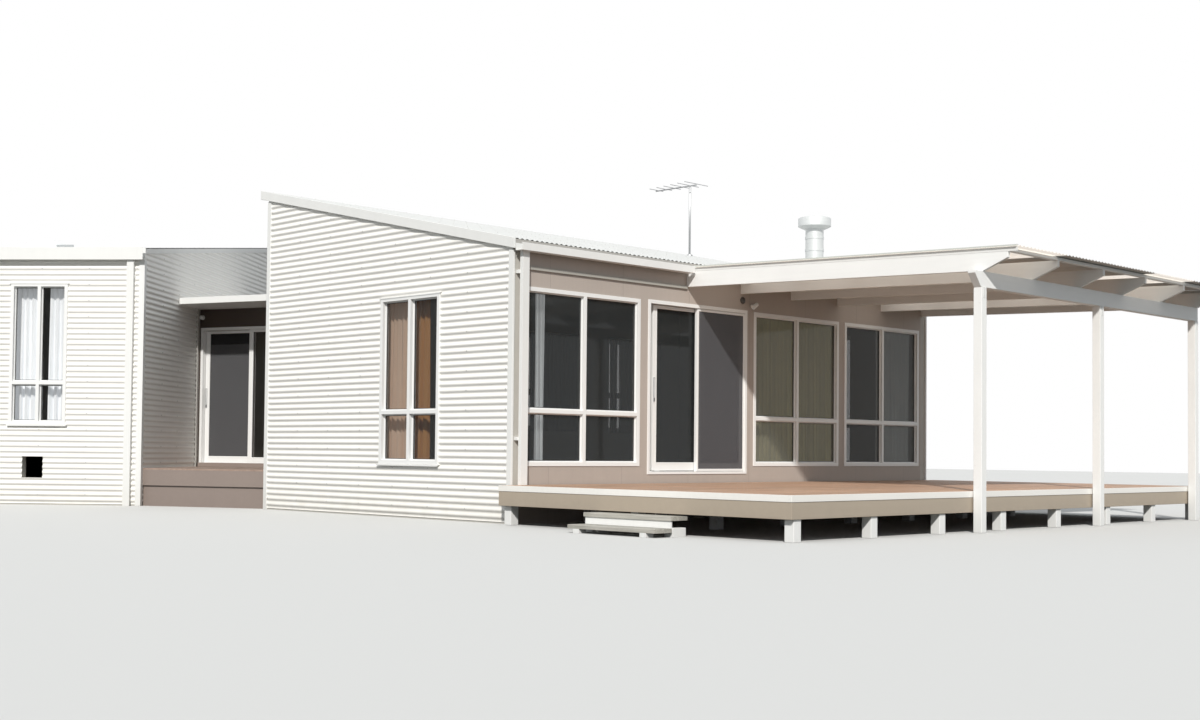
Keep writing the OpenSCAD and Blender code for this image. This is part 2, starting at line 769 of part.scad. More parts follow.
module wing_front_wall() {
    color("ivory") difference() {
        wing_cross_wall(0, 0, wing_len);
        wing_front() {
            window_holes(wing_front_list);
            translate([wing_len - hatch_x - hatch_w, -eps, hatch_z])
                cube([hatch_w, wall_t + 2 * eps, hatch_w]);
        }
    }
}

module wing_entry_wall() {
    color("ivory") wing() difference() {
        upright([[wall_t, 0], [wing_depth, 0], [wing_depth, wing_top(wing_depth)],
                 [wall_t, wing_top(wall_t)]], wall_t);
        translate([wing_cased_x - cased_w / 2, -eps, wing_floor_z])
            cube([cased_w, wall_t + 2 * eps, link_roof_z - 25 - wing_floor_z]);
    }
}

module wing_far_wall() {
    color("ivory") wing_far() difference() {
        upright([[0, 0], [wing_depth - wall_t, 0], [wing_depth - wall_t, wing_top(wall_t)],
                 [0, wing_top(wing_depth)]], wall_t);
        window_holes(wing_far_list);
    }
}

module wing_back_wall() {
    color("ivory") difference() {
        wing_cross_wall(wing_depth - wall_t, wall_t, wing_len - 2 * wall_t);
        wing_back() window_holes(wing_back_list);
    }
}

wing_roof_x = wing_depth + back_over;
module wing_roof() {
    color("whitesmoke") wing()
        upright([[0, wing_under(0)], [wing_roof_x, wing_under(wing_roof_x)],
                 [wing_roof_x, wing_under(wing_roof_x) + wing_roof_t], [0, wing_under(0) + wing_roof_t]],
                wing_len + 2 * verge_over, -verge_over);
}

// Roof light: a square kerb on the roof with a shallow dome set in from its edge
kerb_h = 60;
dome_rise = 80;
dome_in = 20;
module wing_skylight() {
    dome_half = skylight_w / 2 - dome_in;
    dome_r = (dome_half * dome_half + dome_rise * dome_rise) / (2 * dome_rise) * 1.02;
    color("lightgray") wing()
        translate([skylight_x, skylight_y, wing_under(skylight_x) + wing_roof_t + seat_gap])
            rotate([0, -wing_pitch, 0]) {
                translate([-skylight_w / 2, -skylight_w / 2, 0]) cube([skylight_w, skylight_w, kerb_h]);
                translate([0, 0, kerb_h]) intersection() {
                    translate([0, 0, dome_rise - dome_r]) sphere(r = dome_r);
                    translate([-dome_half, -dome_half, 0]) cube([2 * dome_half, 2 * dome_half, dome_rise]);
                }
            }
}

// Deck
deck_len = main_len + deck_left + deck_right;
bearer_h = strip_h + fascia_h - board_t - joist_h;
stump_top = deck_z - strip_h - fascia_h;
deck_rows = [-deck_reach + fascia_t + stump_w / 2, -deck_reach / 2, -stump_w];
first_stump_in = 40;
module deck_at() { site() translate([-deck_left, 0, 0]) children(); }

module deck_boards() {
    color("sienna") deck_at() translate([0, -deck_reach, deck_z - board_t])
        cube([deck_len, deck_reach - wall_gap, board_t]);
}

module deck_frame() {
    joists = floor((deck_len - 2 * fascia_t - joist_w) / joist_pitch);
    step = (deck_len - 2 * fascia_t - joist_w) / joists;
    color("peru") deck_at() {
        for (y = deck_rows) translate([fascia_t, y - joist_w, stump_top])
            cube([deck_len - 2 * fascia_t, 2 * joist_w, bearer_h]);
        for (i = [0 : joists])
            translate([fascia_t + i * step, -deck_reach + fascia_t, stump_top + bearer_h + seat_gap])
                cube([joist_w, deck_reach - fascia_t - wall_gap, joist_h - seat_gap]);
    }
}

// Ring of edge board round the three open sides of the deck
module deck_edge(out, z0, h) {
    deck_at() difference() {
        translate([-out, -deck_reach - out, z0]) cube([deck_len + 2 * out, deck_reach + out - wall_gap, h]);
        translate([fascia_t - out, -deck_reach + fascia_t - out, z0 - eps])
            cube([deck_len - 2 * fascia_t + 2 * out, deck_reach + out, h + 2 * eps]);
    }
}

strip_out = 6;
module deck_edge_strip() {
    color("white") difference() {
        deck_edge(strip_out, deck_z - strip_h, strip_h);
        deck_at() translate([0, -deck_reach, deck_z - board_t])
            cube([deck_len, deck_reach + eps, board_t + eps]);
    }
}

module deck_fascia() { color("tan") deck_edge(0, stump_top, fascia_h); }

module deck_stumps() {
    step = (deck_len - 2 * fascia_t - stump_w - first_stump_in) / (deck_stump_n - 1);
    color("white") deck_at() for (y = deck_rows) for (i = [0 : deck_stump_n - 1])
        stump(fascia_t + stump_w / 2 + first_stump_in + i * step, y, stump_top);
}

// Two low steps along the deck's near end, the upper one against the deck stumps
step_y = -2810;
tread_lap = 20;
riser_t = 18;
block_in = 25;
cleat_in = 60;
cleat_h = 40;
cleat_w = 80;
leg_in = 120;
leg_far_in = 80;
leg_edge = 3;
leg_w = 110;
leg_t = 85;
near_block_h = low_tread_z + 5;
high_x = fascia_t - deck_left - tread_w;
low_x = high_x + tread_lap - tread_w;
module step_treads() {
    color("darkgray") site() {
        translate([low_x, step_y, low_tread_z - tread_t]) cube([tread_w, tread_len, tread_t]);
        translate([high_x, step_y, high_tread_z - tread_t]) cube([tread_w, tread_len, tread_t]);
    }
}

module step_blocks() {
    color("white") site() {
        for (y = [step_y + leg_in, step_y + tread_len - leg_t - leg_far_in])
            translate([low_x + leg_edge, y, 0]) cube([leg_w, leg_t, low_tread_z - tread_t]);
        for (block = [[step_y, near_block_h], [step_y + tread_len - stump_w, high_tread_z - tread_t]])
            translate([high_x + tread_lap + block_in / 2, block[0], 0])
                cube([tread_w - tread_lap - 1.5 * block_in, stump_w, block[1]]);
        translate([high_x + riser_t, step_y + block_in / 2, low_tread_z])
            cube([riser_t, tread_len - block_in, high_tread_z - tread_t - low_tread_z]);
        translate([high_x + tread_w - cleat_in, deck_rows[1] - cleat_w / 2, high_tread_z - tread_t - cleat_h])
            cube([cleat_in + first_stump_in - seat_gap, cleat_w, cleat_h]);
    }
}

// Verandah: posts, beam, rafters with tapered tails, battens and sheets
verandah_len = (rafter_n - 1) * rafter_pitch;
beam_top = verandah_under(beam_y);
post_xs = [rafter_x, rafter_x + verandah_len / 2, rafter_x + verandah_len - post_w / 2 + rafter_w / 2];
tip_y = -beam_y - tail_reach;

module verandah_posts() {
    color("white") site() for (x = post_xs) translate([x - post_w / 2, -beam_y - post_w / 2, 0])
        cube([post_w, post_w, beam_top - beam_h]);
}

module verandah_beam() {
    y0 = -beam_y - beam_w / 2;
    y1 = -beam_y + beam_w / 2;
    x0 = rafter_x - beam_h;
    low = beam_top - beam_h;
    color("white") site() difference() {
        sideways([[y0, low], [y1, low], [y1, verandah_under(-y1)], [y0, verandah_under(-y0)]],
                 verandah_len + beam_h + rafter_w / 2, x0);
        upright([[x0 - eps, low - eps], [rafter_x - post_w / 2, low - eps], [x0 - eps, beam_top - 30]],
                beam_w + 2 * eps, y0 - eps);
    }
}

// One rafter: notched under the main eave, straight to the beam, then a tail that thins to its tip
module rafter() {
    eave_y = -eave_over - 2;
    top0 = rafter_z + rafter_h;
    notch_z = main_under(-eave_over) - barge_drop;
    tip_top = top0 + tip_y * fall;
    sideways([[0, rafter_z], [0, notch_z], [eave_y, notch_z], [eave_y, top0 + eave_y * fall],
              [tip_y, tip_top], [tip_y, tip_top - tip_h],
              [-beam_y - beam_w / 2, verandah_under(beam_y + beam_w / 2)]], rafter_w, -rafter_w / 2);
}

module verandah_rafters() {
    color("white") site() for (i = [0 : rafter_n - 1])
        translate([rafter_x + i * rafter_pitch, 0, 0]) rafter();
}

// Strip across the rafters between two distances from the wall, lifted above the rafters' top
module roof_strip(y0, y1, lift, t, x0, length) {
    base = rafter_z + rafter_h + lift;
    sideways([[y0, base + y0 * fall], [y1, base + y1 * fall], [y1, base + t + y1 * fall],
              [y0, base + t + y0 * fall]], length, x0);
}

batten_in = 20;
sheet_reach = 120;
module verandah_battens() {
    first = -eave_over - 2 * batten_in;
    span = first - tip_y - batten_w;
    color("white") site() for (i = [0 : batten_n - 1]) {
        y = first - i * span / (batten_n - 1);
        roof_strip(y - batten_w, y, seat_gap, batten_h, rafter_x - rafter_w / 2, verandah_len + rafter_w);
    }
}

module verandah_roof() {
    color("whitesmoke") site()
        roof_strip(tip_y - sheet_reach, -eave_over - 2, batten_h + 2 * seat_gap, sheet_t,
                   rafter_x - rafter_w / 2 - sheet_over, verandah_len + rafter_w + 2 * sheet_over);
}

// Roof fittings
cowl_edge = 30;
boot_h = 90;
module flue() {
    foot = main_under(flue_y) + roof_t;
    top = foot + flue_rise;
    color("silver") site() difference() {
        translate([flue_x, flue_y, 0]) rotate_extrude()
            polygon([[0, main_under(0)], [0.8 * flue_d, main_under(0)], [0.8 * flue_d, foot + boot_h / 3],
                     [flue_d / 2, foot + boot_h], [flue_d / 2, top - cowl_h],
                     [cowl_d / 2, top - cowl_h + cowl_edge / 2], [cowl_d / 2, top - cowl_edge],
                     [cowl_d / 2 - cowl_edge, top], [0, top]]);
        below_roof();
    }
}

// Everything under the top of the main roof, with the clearance of what stands on it
module below_roof() {
    sideways([[0, 0], [main_w, 0], [main_w, main_under(main_w) + roof_t + seat_gap],
              [0, main_under(0) + roof_t + seat_gap]], main_len);
}

// Aerial: a foot plate, the mast on it, the boom past the mast and the rods on the boom
mast_d = 38;
foot_w = 120;
boom_t = 24;
rod_t = 12;
boom_back = 150;
rod_step = 25;
module tv_aerial() {
    foot = main_under(mast_y) + roof_t;
    plate_top = main_under(mast_y + foot_w / 2) + roof_t + boom_t;
    top = foot + mast_rise;
    rod_z = top - boom_t;
    color("silver") site() translate([main_len - mast_in, mast_y, 0]) {
        difference() {
            translate([-foot_w / 2, -foot_w / 2, foot - foot_w])
                cube([foot_w, foot_w, plate_top - foot + foot_w]);
            translate([mast_in - main_len, -mast_y, 0]) below_roof();
        }
        translate([0, 0, plate_top + seat_gap])
            cylinder(d = mast_d, h = rod_z - boom_t - plate_top - 2 * seat_gap);
        translate([-boom_t / 2, -boom_back, rod_z - boom_t]) cube([boom_t, boom_len, boom_t]);
        for (i = [0 : rod_n - 1])
            translate([i * rod_step - rod_len / 2,
                       i * (boom_len - 2 * rod_t) / (rod_n - 1) - boom_back + rod_t / 2, rod_z + seat_gap])
                cube([rod_len - 2 * i * rod_step, rod_t, rod_t]);
    }
}

// Round light over the deck door, a tilted spot beside it and a drum light beside the entry door
lamp_in = 30;
deck_lamp_in = -95;
spot_in = 95;
spot_drop = 60;
spot_len = 100;
module wall_lights() {
    color("white") {
        deck_side() translate([deck_door_end + deck_lamp_in, -trim_t, deck_lamp_z])
            rotate([-90, 0, 0]) cylinder(d = lamp_d, h = trim_t);
        deck_side() translate([deck_door_end + spot_in, 0, deck_lamp_z - spot_drop]) {
            translate([0, -lamp_in, 0]) rotate([-90, 0, 0]) cylinder(d = lamp_d / 2, h = lamp_in);
            translate([0, -lamp_in, 0]) rotate([0, -120, 0]) translate([0, -lamp_d / 3, -spot_len / 2])
                cylinder(d = 0.7 * lamp_d, h = spot_len);
        }
        link() translate([entry_door_x + lamp_in, -2 * lamp_in, entry_lamp_z])
            rotate([-90, 0, 0]) cylinder(d = 0.8 * lamp_d, h = 2 * lamp_in);
    }
}

main_floor();
floor_stumps();
gable_wall();
deck_wall_left();
deck_wall_right();
deck_door_surround();
back_wall();
end_wall();
main_roof();
barge_caps();
corner_trims();
gutters();
downpipes();
main_window_frames();
wing_window_frames();
window_glass();
deck_door_frame();
entry_door_frame();
fixed_door_panels();
deck_wall_trim();
link_floor();
link_walls();
link_wall_over();
link_roof();
entry_canopy();
entry_landing();
wing_floor();
wing_front_wall();
wing_entry_wall();
wing_back_wall();
wing_far_wall();
wing_roof();
wing_skylight();
deck_boards();
deck_frame();
deck_edge_strip();
deck_fascia();
deck_stumps();
step_treads();
step_blocks();
verandah_posts();
verandah_beam();
verandah_rafters();
verandah_battens();
verandah_roof();
flue();
tv_aerial();
wall_lights();
deck_door_sash();
deck_door_glass();
entry_door_sash();
entry_door_glass();
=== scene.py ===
"""Looks of the beach house: ribbed steel walls and roofs, glazing, timber deck and verandah, and the studio."""

import json
import logging
import math
from contextlib import contextmanager
from dataclasses import dataclass, field
from enum import Enum
from functools import cached_property
from typing import Iterable, Iterator, Sequence

import bmesh
import bpy
import numpy as np
from mathutils import Matrix, Vector


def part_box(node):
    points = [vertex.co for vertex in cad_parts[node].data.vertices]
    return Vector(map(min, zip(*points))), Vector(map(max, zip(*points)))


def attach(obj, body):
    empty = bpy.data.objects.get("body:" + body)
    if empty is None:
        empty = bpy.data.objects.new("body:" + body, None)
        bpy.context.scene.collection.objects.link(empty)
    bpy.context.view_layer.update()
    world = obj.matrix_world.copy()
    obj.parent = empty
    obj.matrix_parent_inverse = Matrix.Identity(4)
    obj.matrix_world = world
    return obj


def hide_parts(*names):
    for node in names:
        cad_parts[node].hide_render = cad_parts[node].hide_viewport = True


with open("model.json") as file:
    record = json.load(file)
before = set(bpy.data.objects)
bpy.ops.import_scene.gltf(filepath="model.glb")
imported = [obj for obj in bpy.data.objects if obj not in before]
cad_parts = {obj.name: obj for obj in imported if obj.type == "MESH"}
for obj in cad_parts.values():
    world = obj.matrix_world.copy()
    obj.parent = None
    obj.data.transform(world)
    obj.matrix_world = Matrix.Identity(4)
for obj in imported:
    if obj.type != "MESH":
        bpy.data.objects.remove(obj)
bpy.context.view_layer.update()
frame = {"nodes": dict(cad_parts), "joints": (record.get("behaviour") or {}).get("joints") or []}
LOG = logging.getLogger("beach_house")
HOUSE, DECK_DOOR, ENTRY_DOOR = "house", "deck_door", "entry_door"
MAIN_FRAMES, WING_FRAMES = "main_window_frames", "wing_window_frames"
X, Y, Z = np.eye(3)
TURN = 2 * math.pi
MERGE = 1e-5  # Points nearer than this are one point.
LIFT = 0.0005  # Thin skins stand this far off what carries them.
Colour = tuple[float, float, float]
Outline = Sequence[tuple[float, float]]
Surface = tuple[np.ndarray, list]
Edge = tuple[float, float]


# Shader expressions

class Value:
    """One output socket of a node tree. Arithmetic on it adds Math nodes."""

    def __init__(self, graph: "Graph", socket: bpy.types.NodeSocket | None) -> None:
        """Keeps the graph and the socket, which is None for an output node."""
        self.graph, self.socket = graph, socket

    def _math(self, operation: str, *operands: "Value | float") -> "Value":
        """Adds one Math node and returns its result."""
        return self.graph.node("ShaderNodeMath", {"operation": operation}, dict(enumerate(operands)))

    def __add__(self, other: "Value | float") -> "Value":
        """This value plus another."""
        return self._math("ADD", self, other)

    def __sub__(self, other: "Value | float") -> "Value":
        """This value less another."""
        return self._math("SUBTRACT", self, other)

    def __rsub__(self, other: float) -> "Value":
        """A number less this value."""
        return self._math("SUBTRACT", other, self)

    def __mul__(self, other: "Value | float") -> "Value":
        """This value times another."""
        return self._math("MULTIPLY", self, other)

    __radd__, __rmul__ = __add__, __mul__

    def most(self, other: "Value | float") -> "Value":
        """The larger of this value and another."""
        return self._math("MAXIMUM", self, other)

    def cosine(self) -> "Value":
        """Cosine of this value in radians."""
        return self._math("COSINE", self)

    def above(self, limit: float) -> "Value":
        """1 where this value is over a limit, and 0 elsewhere."""
        return self._math("GREATER_THAN", self, limit)

    def below(self, limit: float) -> "Value":
        """1 where this value is under a limit, and 0 elsewhere."""
        return self._math("LESS_THAN", self, limit)

    def ramp(self, low: float, high: float) -> "Value":
        """This value spread from 0 at low to 1 at high, and held outside."""
        return self.graph.node("ShaderNodeMapRange", {"clamp": True, "interpolation_type": "SMOOTHSTEP"},
                               {0: self, 1: low, 2: high, 3: 0.0, 4: 1.0})


class Graph:
    """A material or world whose nodes are written as expressions."""

    def __init__(self, owner: bpy.types.Material | bpy.types.World) -> None:
        """Empties the tree of a new material or world.

        Args:
            owner: The material or world.
        """
        owner.use_nodes = True
        self.owner, self.tree = owner, owner.node_tree
        self.tree.nodes.clear()

    def node(self, kind: str, settings: dict | None = None, sockets: dict | None = None,
             out: int | str = 0) -> Value:
        """Adds any node.

        Args:
            kind: The node's type.
            settings: Its properties, set first.
            sockets: Values or links of its input sockets, by number or name.
            out: The output socket to return.

        Returns:
            The chosen output.
        """
        made = self.tree.nodes.new(kind)
        for key, value in (settings or {}).items():
            setattr(made, key, value)
        for key, value in (sockets or {}).items():
            if isinstance(value, Value):
                self.tree.links.new(value.socket, made.inputs[key])
            else:
                made.inputs[key].default_value = value
        return Value(self, made.outputs[out] if made.outputs else None)

    @cached_property
    def place(self) -> Value:
        """Object coordinates, in metres."""
        return self.node("ShaderNodeTexCoord", out="Object")

    def axis(self, index: int) -> Value:
        """Object coordinate along X, Y or Z."""
        return self.node("ShaderNodeSeparateXYZ", None, {0: self.place}, index)

    def stretched(self, scale: Colour, turn: float = 0.0) -> Value:
        """Object coordinates turned about Z in degrees and then scaled along each axis."""
        turned = self.node("ShaderNodeMapping", None, {0: self.place, 2: (0, 0, math.radians(turn))})
        return self.node("ShaderNodeVectorMath", {"operation": "MULTIPLY"}, {0: turned, 1: scale})

    def noise(self, scale: float, detail: float = 3.0, vector: Value | None = None) -> Value:
        """Soft noise about 0.5 with a feature size of one over scale metres."""
        return self.node("ShaderNodeTexNoise", None,
                         {"Vector": vector or self.place, "Scale": scale, "Detail": detail})

    def mix(self, share: Value | float, first: Value | Colour, second: Value | Colour) -> Value:
        """Colour that goes from first to second with a share."""
        ends = [c if isinstance(c, Value) else (*c, 1.0) for c in (first, second)]
        return self.node("ShaderNodeMix", {"data_type": "RGBA"}, {0: share, 6: ends[0], 7: ends[1]}, 2)

    def tint(self, colour: Value | Colour, share: Value, gain: float) -> Value:
        """Colour made lighter or darker by a share that lies about 0.5.

        Args:
            colour: The colour.
            share: The share.
            gain: Change of level from share 0 to share 1.

        Returns:
            The tinted colour.
        """
        base = colour if isinstance(colour, Value) else (*colour, 1.0)
        level = (share - 0.5) * gain + 1.0
        grey = self.node("ShaderNodeCombineXYZ", None, {0: level, 1: level, 2: level})
        return self.node("ShaderNodeMix", {"data_type": "RGBA", "blend_type": "MULTIPLY"},
                         {0: 1.0, 6: base, 7: grey}, 2)

    def soiled(self, colour: Value, dirt: Colour, amount: float, scale: float, top: float,
               foot: float = 0.0) -> Value:
        """Colour under patches of dirt that thin out from a foot height to a top height."""
        low = (1.0 - self.axis(2).ramp(foot, top)) * self.noise(scale, 5.0) * amount
        return self.mix(low, colour, dirt)

    def bump(self, height: Value, distance: float, strength: float) -> Value:
        """Normal that follows a height of 0 to 1 over a distance in metres."""
        return self.node("ShaderNodeBump", None, {"Height": height, "Distance": distance, "Strength": strength})

    def seen(self) -> Value:
        """1 where the camera, a reflection or glass looks, for one background to see and another as light.

        Returns:
            The share of the background that is seen.
        """
        camera, glossy, through = (self.node("ShaderNodeLightPath", out=f"Is {kind} Ray")
                                   for kind in ("Camera", "Glossy", "Transmission"))
        return camera.most(glossy).most(through)

    def finish(self, **sockets: Value | Colour | float) -> bpy.types.Material:
        """Closes the material with its shader.

        Args:
            sockets: Values or links of the shader's sockets, named with underscores for spaces.

        Returns:
            The material.
        """
        named = {key.replace("_", " "): (*value, 1.0) if isinstance(value, tuple) else value
                 for key, value in sockets.items()}
        self.node("ShaderNodeOutputMaterial", None, {0: self.node("ShaderNodeBsdfPrincipled", None, named)})
        return self.owner


# Finishes

class Grain(Enum):
    """Direction that the grain of a board follows, as a scale of Object coordinates."""

    ALONG_X = (1.2, 22.0, 22.0)
    ALONG_Y = (22.0, 1.2, 22.0)
    UPRIGHT = (22.0, 22.0, 1.2)


def shaded(colour: Colour, share: float) -> Colour:
    """A colour times a share."""
    return tuple(share * c for c in colour)


@dataclass(frozen=True)
class Coat:
    """A finish, whose material is made once under its name."""

    name: str

    def shade(self, g: Graph) -> bpy.types.Material:
        """Writes the material's nodes."""
        raise NotImplementedError

    def material(self) -> bpy.types.Material:
        """The material, made on its first use."""
        return bpy.data.materials.get(self.name) or self.shade(Graph(bpy.data.materials.new(self.name)))


@dataclass(frozen=True)
class PaintedSteel(Coat):
    """Folded steel with a factory coat, with painted shade under each rib, and dusty near the ground."""

    colour: Colour
    roughness: float = 0.42
    dust: float = 0.35
    # Pitch of the painted shade under the ribs; 0 paints none.
    rib_pitch: float = 0.0
    gloss: float = 0.3

    def shade(self, g: Graph) -> bpy.types.Material:
        """Clouds, upright streaks, painted shade under each rib, and dust.

        Args:
            g: The material's graph.

        Returns:
            The material.
        """
        cloud, streak = g.noise(1.1, 4.0), g.noise(1.0, 4.0, g.stretched((9.0, 9.0, 0.35)))
        colour = g.tint(g.tint(self.colour, cloud, 0.07), streak, 0.06)
        if self.rib_pitch:
            # Painted shade: a darker band on the downward flank of each rib, where its shadow falls.
            painted_rib_shade = (g.axis(2) * (TURN / self.rib_pitch) + 1.7).cosine().ramp(0.35, 1.0)
            colour = g.mix(painted_rib_shade * 0.28, colour, shaded(self.colour, 0.45))
        colour = g.soiled(colour, (0.45, 0.40, 0.31), self.dust, 7.0, 0.55)
        rough = g.noise(3.0, 3.0) * 0.12 + (self.roughness - 0.06)
        wave = g.noise(2.2, 2.0) * 0.7 + g.noise(60.0, 3.0) * 0.04
        return g.finish(Base_Color=colour, Roughness=rough, Specular_IOR_Level=self.gloss,
                        Normal=g.bump(wave, 0.006, 0.5))


@dataclass(frozen=True)
class PaintedTimber(Coat):
    """Dressed timber or board under paint, with faint grain and chalking."""

    colour: Colour
    grain: Grain = Grain.ALONG_X
    turn: float = 0.0
    wear: float = 0.25

    def shade(self, g: Graph) -> bpy.types.Material:
        """Clouds, grain lines, a soiled foot and chips.

        Args:
            g: The material's graph.

        Returns:
            The material.
        """
        lines = g.noise(1.0, 6.0, g.stretched(self.grain.value, self.turn))
        cloud = g.noise(1.6, 4.0)
        colour = g.tint(g.tint(self.colour, cloud, 0.10), lines, 0.07)
        colour = g.soiled(colour, shaded(self.colour, 0.55), self.wear, 9.0, 0.45)
        chips = g.noise(26.0, 4.0).ramp(0.68, 0.74) * 0.35 * self.wear
        colour = g.mix(chips, colour, (0.42, 0.36, 0.28))
        return g.finish(Base_Color=colour, Roughness=cloud * 0.2 + 0.45, Normal=g.bump(lines, 0.0015, 0.6))


@dataclass(frozen=True)
class BoardTimber(Coat):
    """Open boards: each has its own tone, grain along it and greyer wear on top."""

    dark: Colour
    light: Colour
    weathered: Colour
    grey: float
    grain: Grain = Grain.ALONG_X
    turn: float = 0.0

    def shade(self, g: Graph) -> bpy.types.Material:
        """Grain shifted from board to board, tone by board, and weathered patches.

        Args:
            g: The material's graph.

        Returns:
            The material.
        """
        tone = g.node("ShaderNodeAttribute", {"attribute_name": "board"}, None, "Fac")
        shifted = g.node("ShaderNodeCombineXYZ", None, {0: tone * 31.0, 1: tone * 17.0, 2: tone * 9.0})
        along = g.node("ShaderNodeVectorMath", {"operation": "ADD"},
                       {0: g.stretched(self.grain.value, self.turn), 1: shifted})
        lines, rings = g.noise(2.6, 8.0, along), g.noise(0.7, 3.0, along)
        colour = g.mix((lines * 0.6 + rings * 0.4).ramp(0.32, 0.68), self.dark, self.light)
        worn = g.noise(1.7, 5.0) * self.grey + g.noise(14.0, 4.0).ramp(0.5, 0.8) * self.grey * 0.5
        colour = g.mix(worn, g.tint(colour, tone, 0.42), self.weathered)
        return g.finish(Base_Color=colour, Roughness=lines * 0.2 + 0.52, Normal=g.bump(lines, 0.0022, 0.7))


@dataclass(frozen=True)
class PlainCoat(Coat):
    """Powder coat, plastic or rubber: one colour with a fine grain. The underside of a milky sheet glows, as
    painted light in place of daylight coming through it.
    """

    colour: Colour
    roughness: float = 0.4
    speck: float = 300.0
    alpha: float = 1.0
    gain: float = 0.05
    painted_glow: float = 0.0

    def shade(self, g: Graph) -> bpy.types.Material:
        """Clouds, specks and any painted light glowing from below.

        Args:
            g: The material's graph.

        Returns:
            The material.
        """
        cloud, speck = g.noise(2.5, 4.0), g.noise(self.speck, 2.0)
        light = self.colour
        # Painted light: the downward faces glow in place of daylight coming through the sheet.
        if self.painted_glow:
            normal = g.node("ShaderNodeNewGeometry", out="Normal")
            up = g.node("ShaderNodeSeparateXYZ", None, {0: normal}, 2)
            light = g.mix(up.ramp(-0.2, 0.2), self.colour, (0.0, 0.0, 0.0))
        return g.finish(Base_Color=g.tint(self.colour, cloud, self.gain), Alpha=self.alpha,
                        Roughness=cloud * 0.1 + self.roughness - 0.05, Emission_Color=light,
                        Emission_Strength=self.painted_glow, Normal=g.bump(speck, 0.0004, 0.25))


@dataclass(frozen=True)
class SpunMetal(Coat):
    """Thin sheet metal, rolled or drawn, with faint rings and dull patches."""

    colour: Colour
    roughness: float = 0.34
    metallic: float = 0.85

    def shade(self, g: Graph) -> bpy.types.Material:
        """Rings and patches.

        Args:
            g: The material's graph.

        Returns:
            The material.
        """
        rings, patch = g.noise(1.0, 4.0, g.stretched((3.0, 3.0, 90.0))), g.noise(4.0, 5.0)
        colour = g.tint(g.tint(self.colour, patch, 0.16), rings, 0.10)
        return g.finish(Base_Color=colour, Metallic=self.metallic, Roughness=patch * 0.2 + self.roughness - 0.1,
                        Normal=g.bump(rings, 0.0008, 0.4))


@dataclass(frozen=True)
class Glazing(Coat):
    """Tinted float glass seen against dim rooms, clearer in the wing and the gable, where curtains hang."""

    tint: Colour
    see_through: float
    gable: float = 0.0
    wing: float = 0.0
    gable_x: float = -99.0
    wing_y: float = 99.0
    # Height above which the glass is painted darker, as a reflection of the canopy's dark underside; 0 paints
    # none.
    painted_reflection_z: float = 0.0
    # Lighter tint of the glass below that painted reflection.
    under_reflection_tint: Colour = (0.10, 0.10, 0.105)

    def shade(self, g: Graph) -> bpy.types.Material:
        """Tint, kept darker above a height as a painted reflection of the canopy's dark underside and lighter
        below it, and a share that is seen through.

        Args:
            g: The material's graph.

        Returns:
            The material.
        """
        smear = g.noise(3.0, 4.0, g.stretched((1.0, 1.0, 0.5)))
        in_wing = g.axis(1).above(self.wing_y)
        in_gable = g.axis(0).below(self.gable_x) * (1.0 - in_wing)
        share = in_wing * (self.wing - self.see_through) + in_gable * (self.gable - self.see_through)
        alpha = 1.0 - self.see_through - share + (smear - 0.5) * 0.05
        tint = self.tint
        # Painted reflection: darker above the height, lighter below.
        if self.painted_reflection_z:
            tint = g.mix(g.axis(2).ramp(self.painted_reflection_z - 0.01, self.painted_reflection_z + 0.01), self.under_reflection_tint, self.tint)
        return g.finish(Base_Color=tint, Roughness=smear * 0.03 + 0.02, Alpha=alpha, IOR=1.5,
                        Specular_IOR_Level=0.28, Normal=g.bump(g.noise(1.4, 2.0), 0.003, 0.12))


@dataclass(frozen=True)
class Cloth(Coat):
    """Woven curtain cloth, glowing a little as painted light in place of daylight coming through it from behind.
    """

    colour: Colour
    painted_glow: float = 0.0
    thread: float = 0.0016

    def shade(self, g: Graph) -> bpy.types.Material:
        """Warp and weft, slubs, clouds and a faint painted light glowing from the cloth.

        Args:
            g: The material's graph.

        Returns:
            The material.
        """
        warp = ((g.axis(0) + g.axis(1)) * (TURN / self.thread)).cosine()
        weft = (g.axis(2) * (TURN / self.thread)).cosine()
        weave = warp * weft * 0.5 + 0.5
        cloud, slub = g.noise(5.0, 5.0), g.noise(1.0, 3.0, g.stretched((160.0, 160.0, 3.0)))
        colour = g.tint(g.tint(self.colour, cloud, 0.12), slub, 0.16)
        # Painted light: the cloth glows in its own colour.
        return g.finish(Base_Color=colour, Roughness=0.9, Sheen_Weight=0.2, Emission_Color=colour,
                        Emission_Strength=self.painted_glow, Normal=g.bump(weave * 0.5 + slub * 0.5, 0.0006, 0.5))


@dataclass(frozen=True)
class WallSides(Coat):
    """A wall whose outer face is painted board and whose inner face and edges are plastered."""

    outside: Colour
    face: tuple[float, float]
    inward: tuple[float, float]
    joint: float = 1.2
    inside: Colour = (0.50, 0.48, 0.44)

    def shade(self, g: Graph) -> bpy.types.Material:
        """Grain, a soiled foot and joint lines on the outer face, and plaster behind it.

        Args:
            g: The material's graph.

        Returns:
            The material.
        """
        depth = (g.axis(0) - self.face[0]) * self.inward[0] + (g.axis(1) - self.face[1]) * self.inward[1]
        along = g.axis(0) * self.inward[1] - g.axis(1) * self.inward[0]
        seam = (along * (TURN / self.joint)).cosine().ramp(0.9998, 1.0)
        cloud, grain = g.noise(0.9, 5.0), g.noise(1.0, 6.0, g.stretched(Grain.UPRIGHT.value))
        paint = g.tint(g.tint(self.outside, cloud, 0.14), grain, 0.07)
        paint = g.soiled(paint, shaded(self.outside, 0.66), 0.25, 6.0, 0.95, 0.4)
        paint = g.mix(seam * 0.5, paint, shaded(self.outside, 0.45))
        return g.finish(Base_Color=g.mix(depth.below(0.003), self.inside, paint), Roughness=cloud * 0.2 + 0.5,
                        Normal=g.bump(grain * 0.3 + (1.0 - seam), 0.003, 0.5))


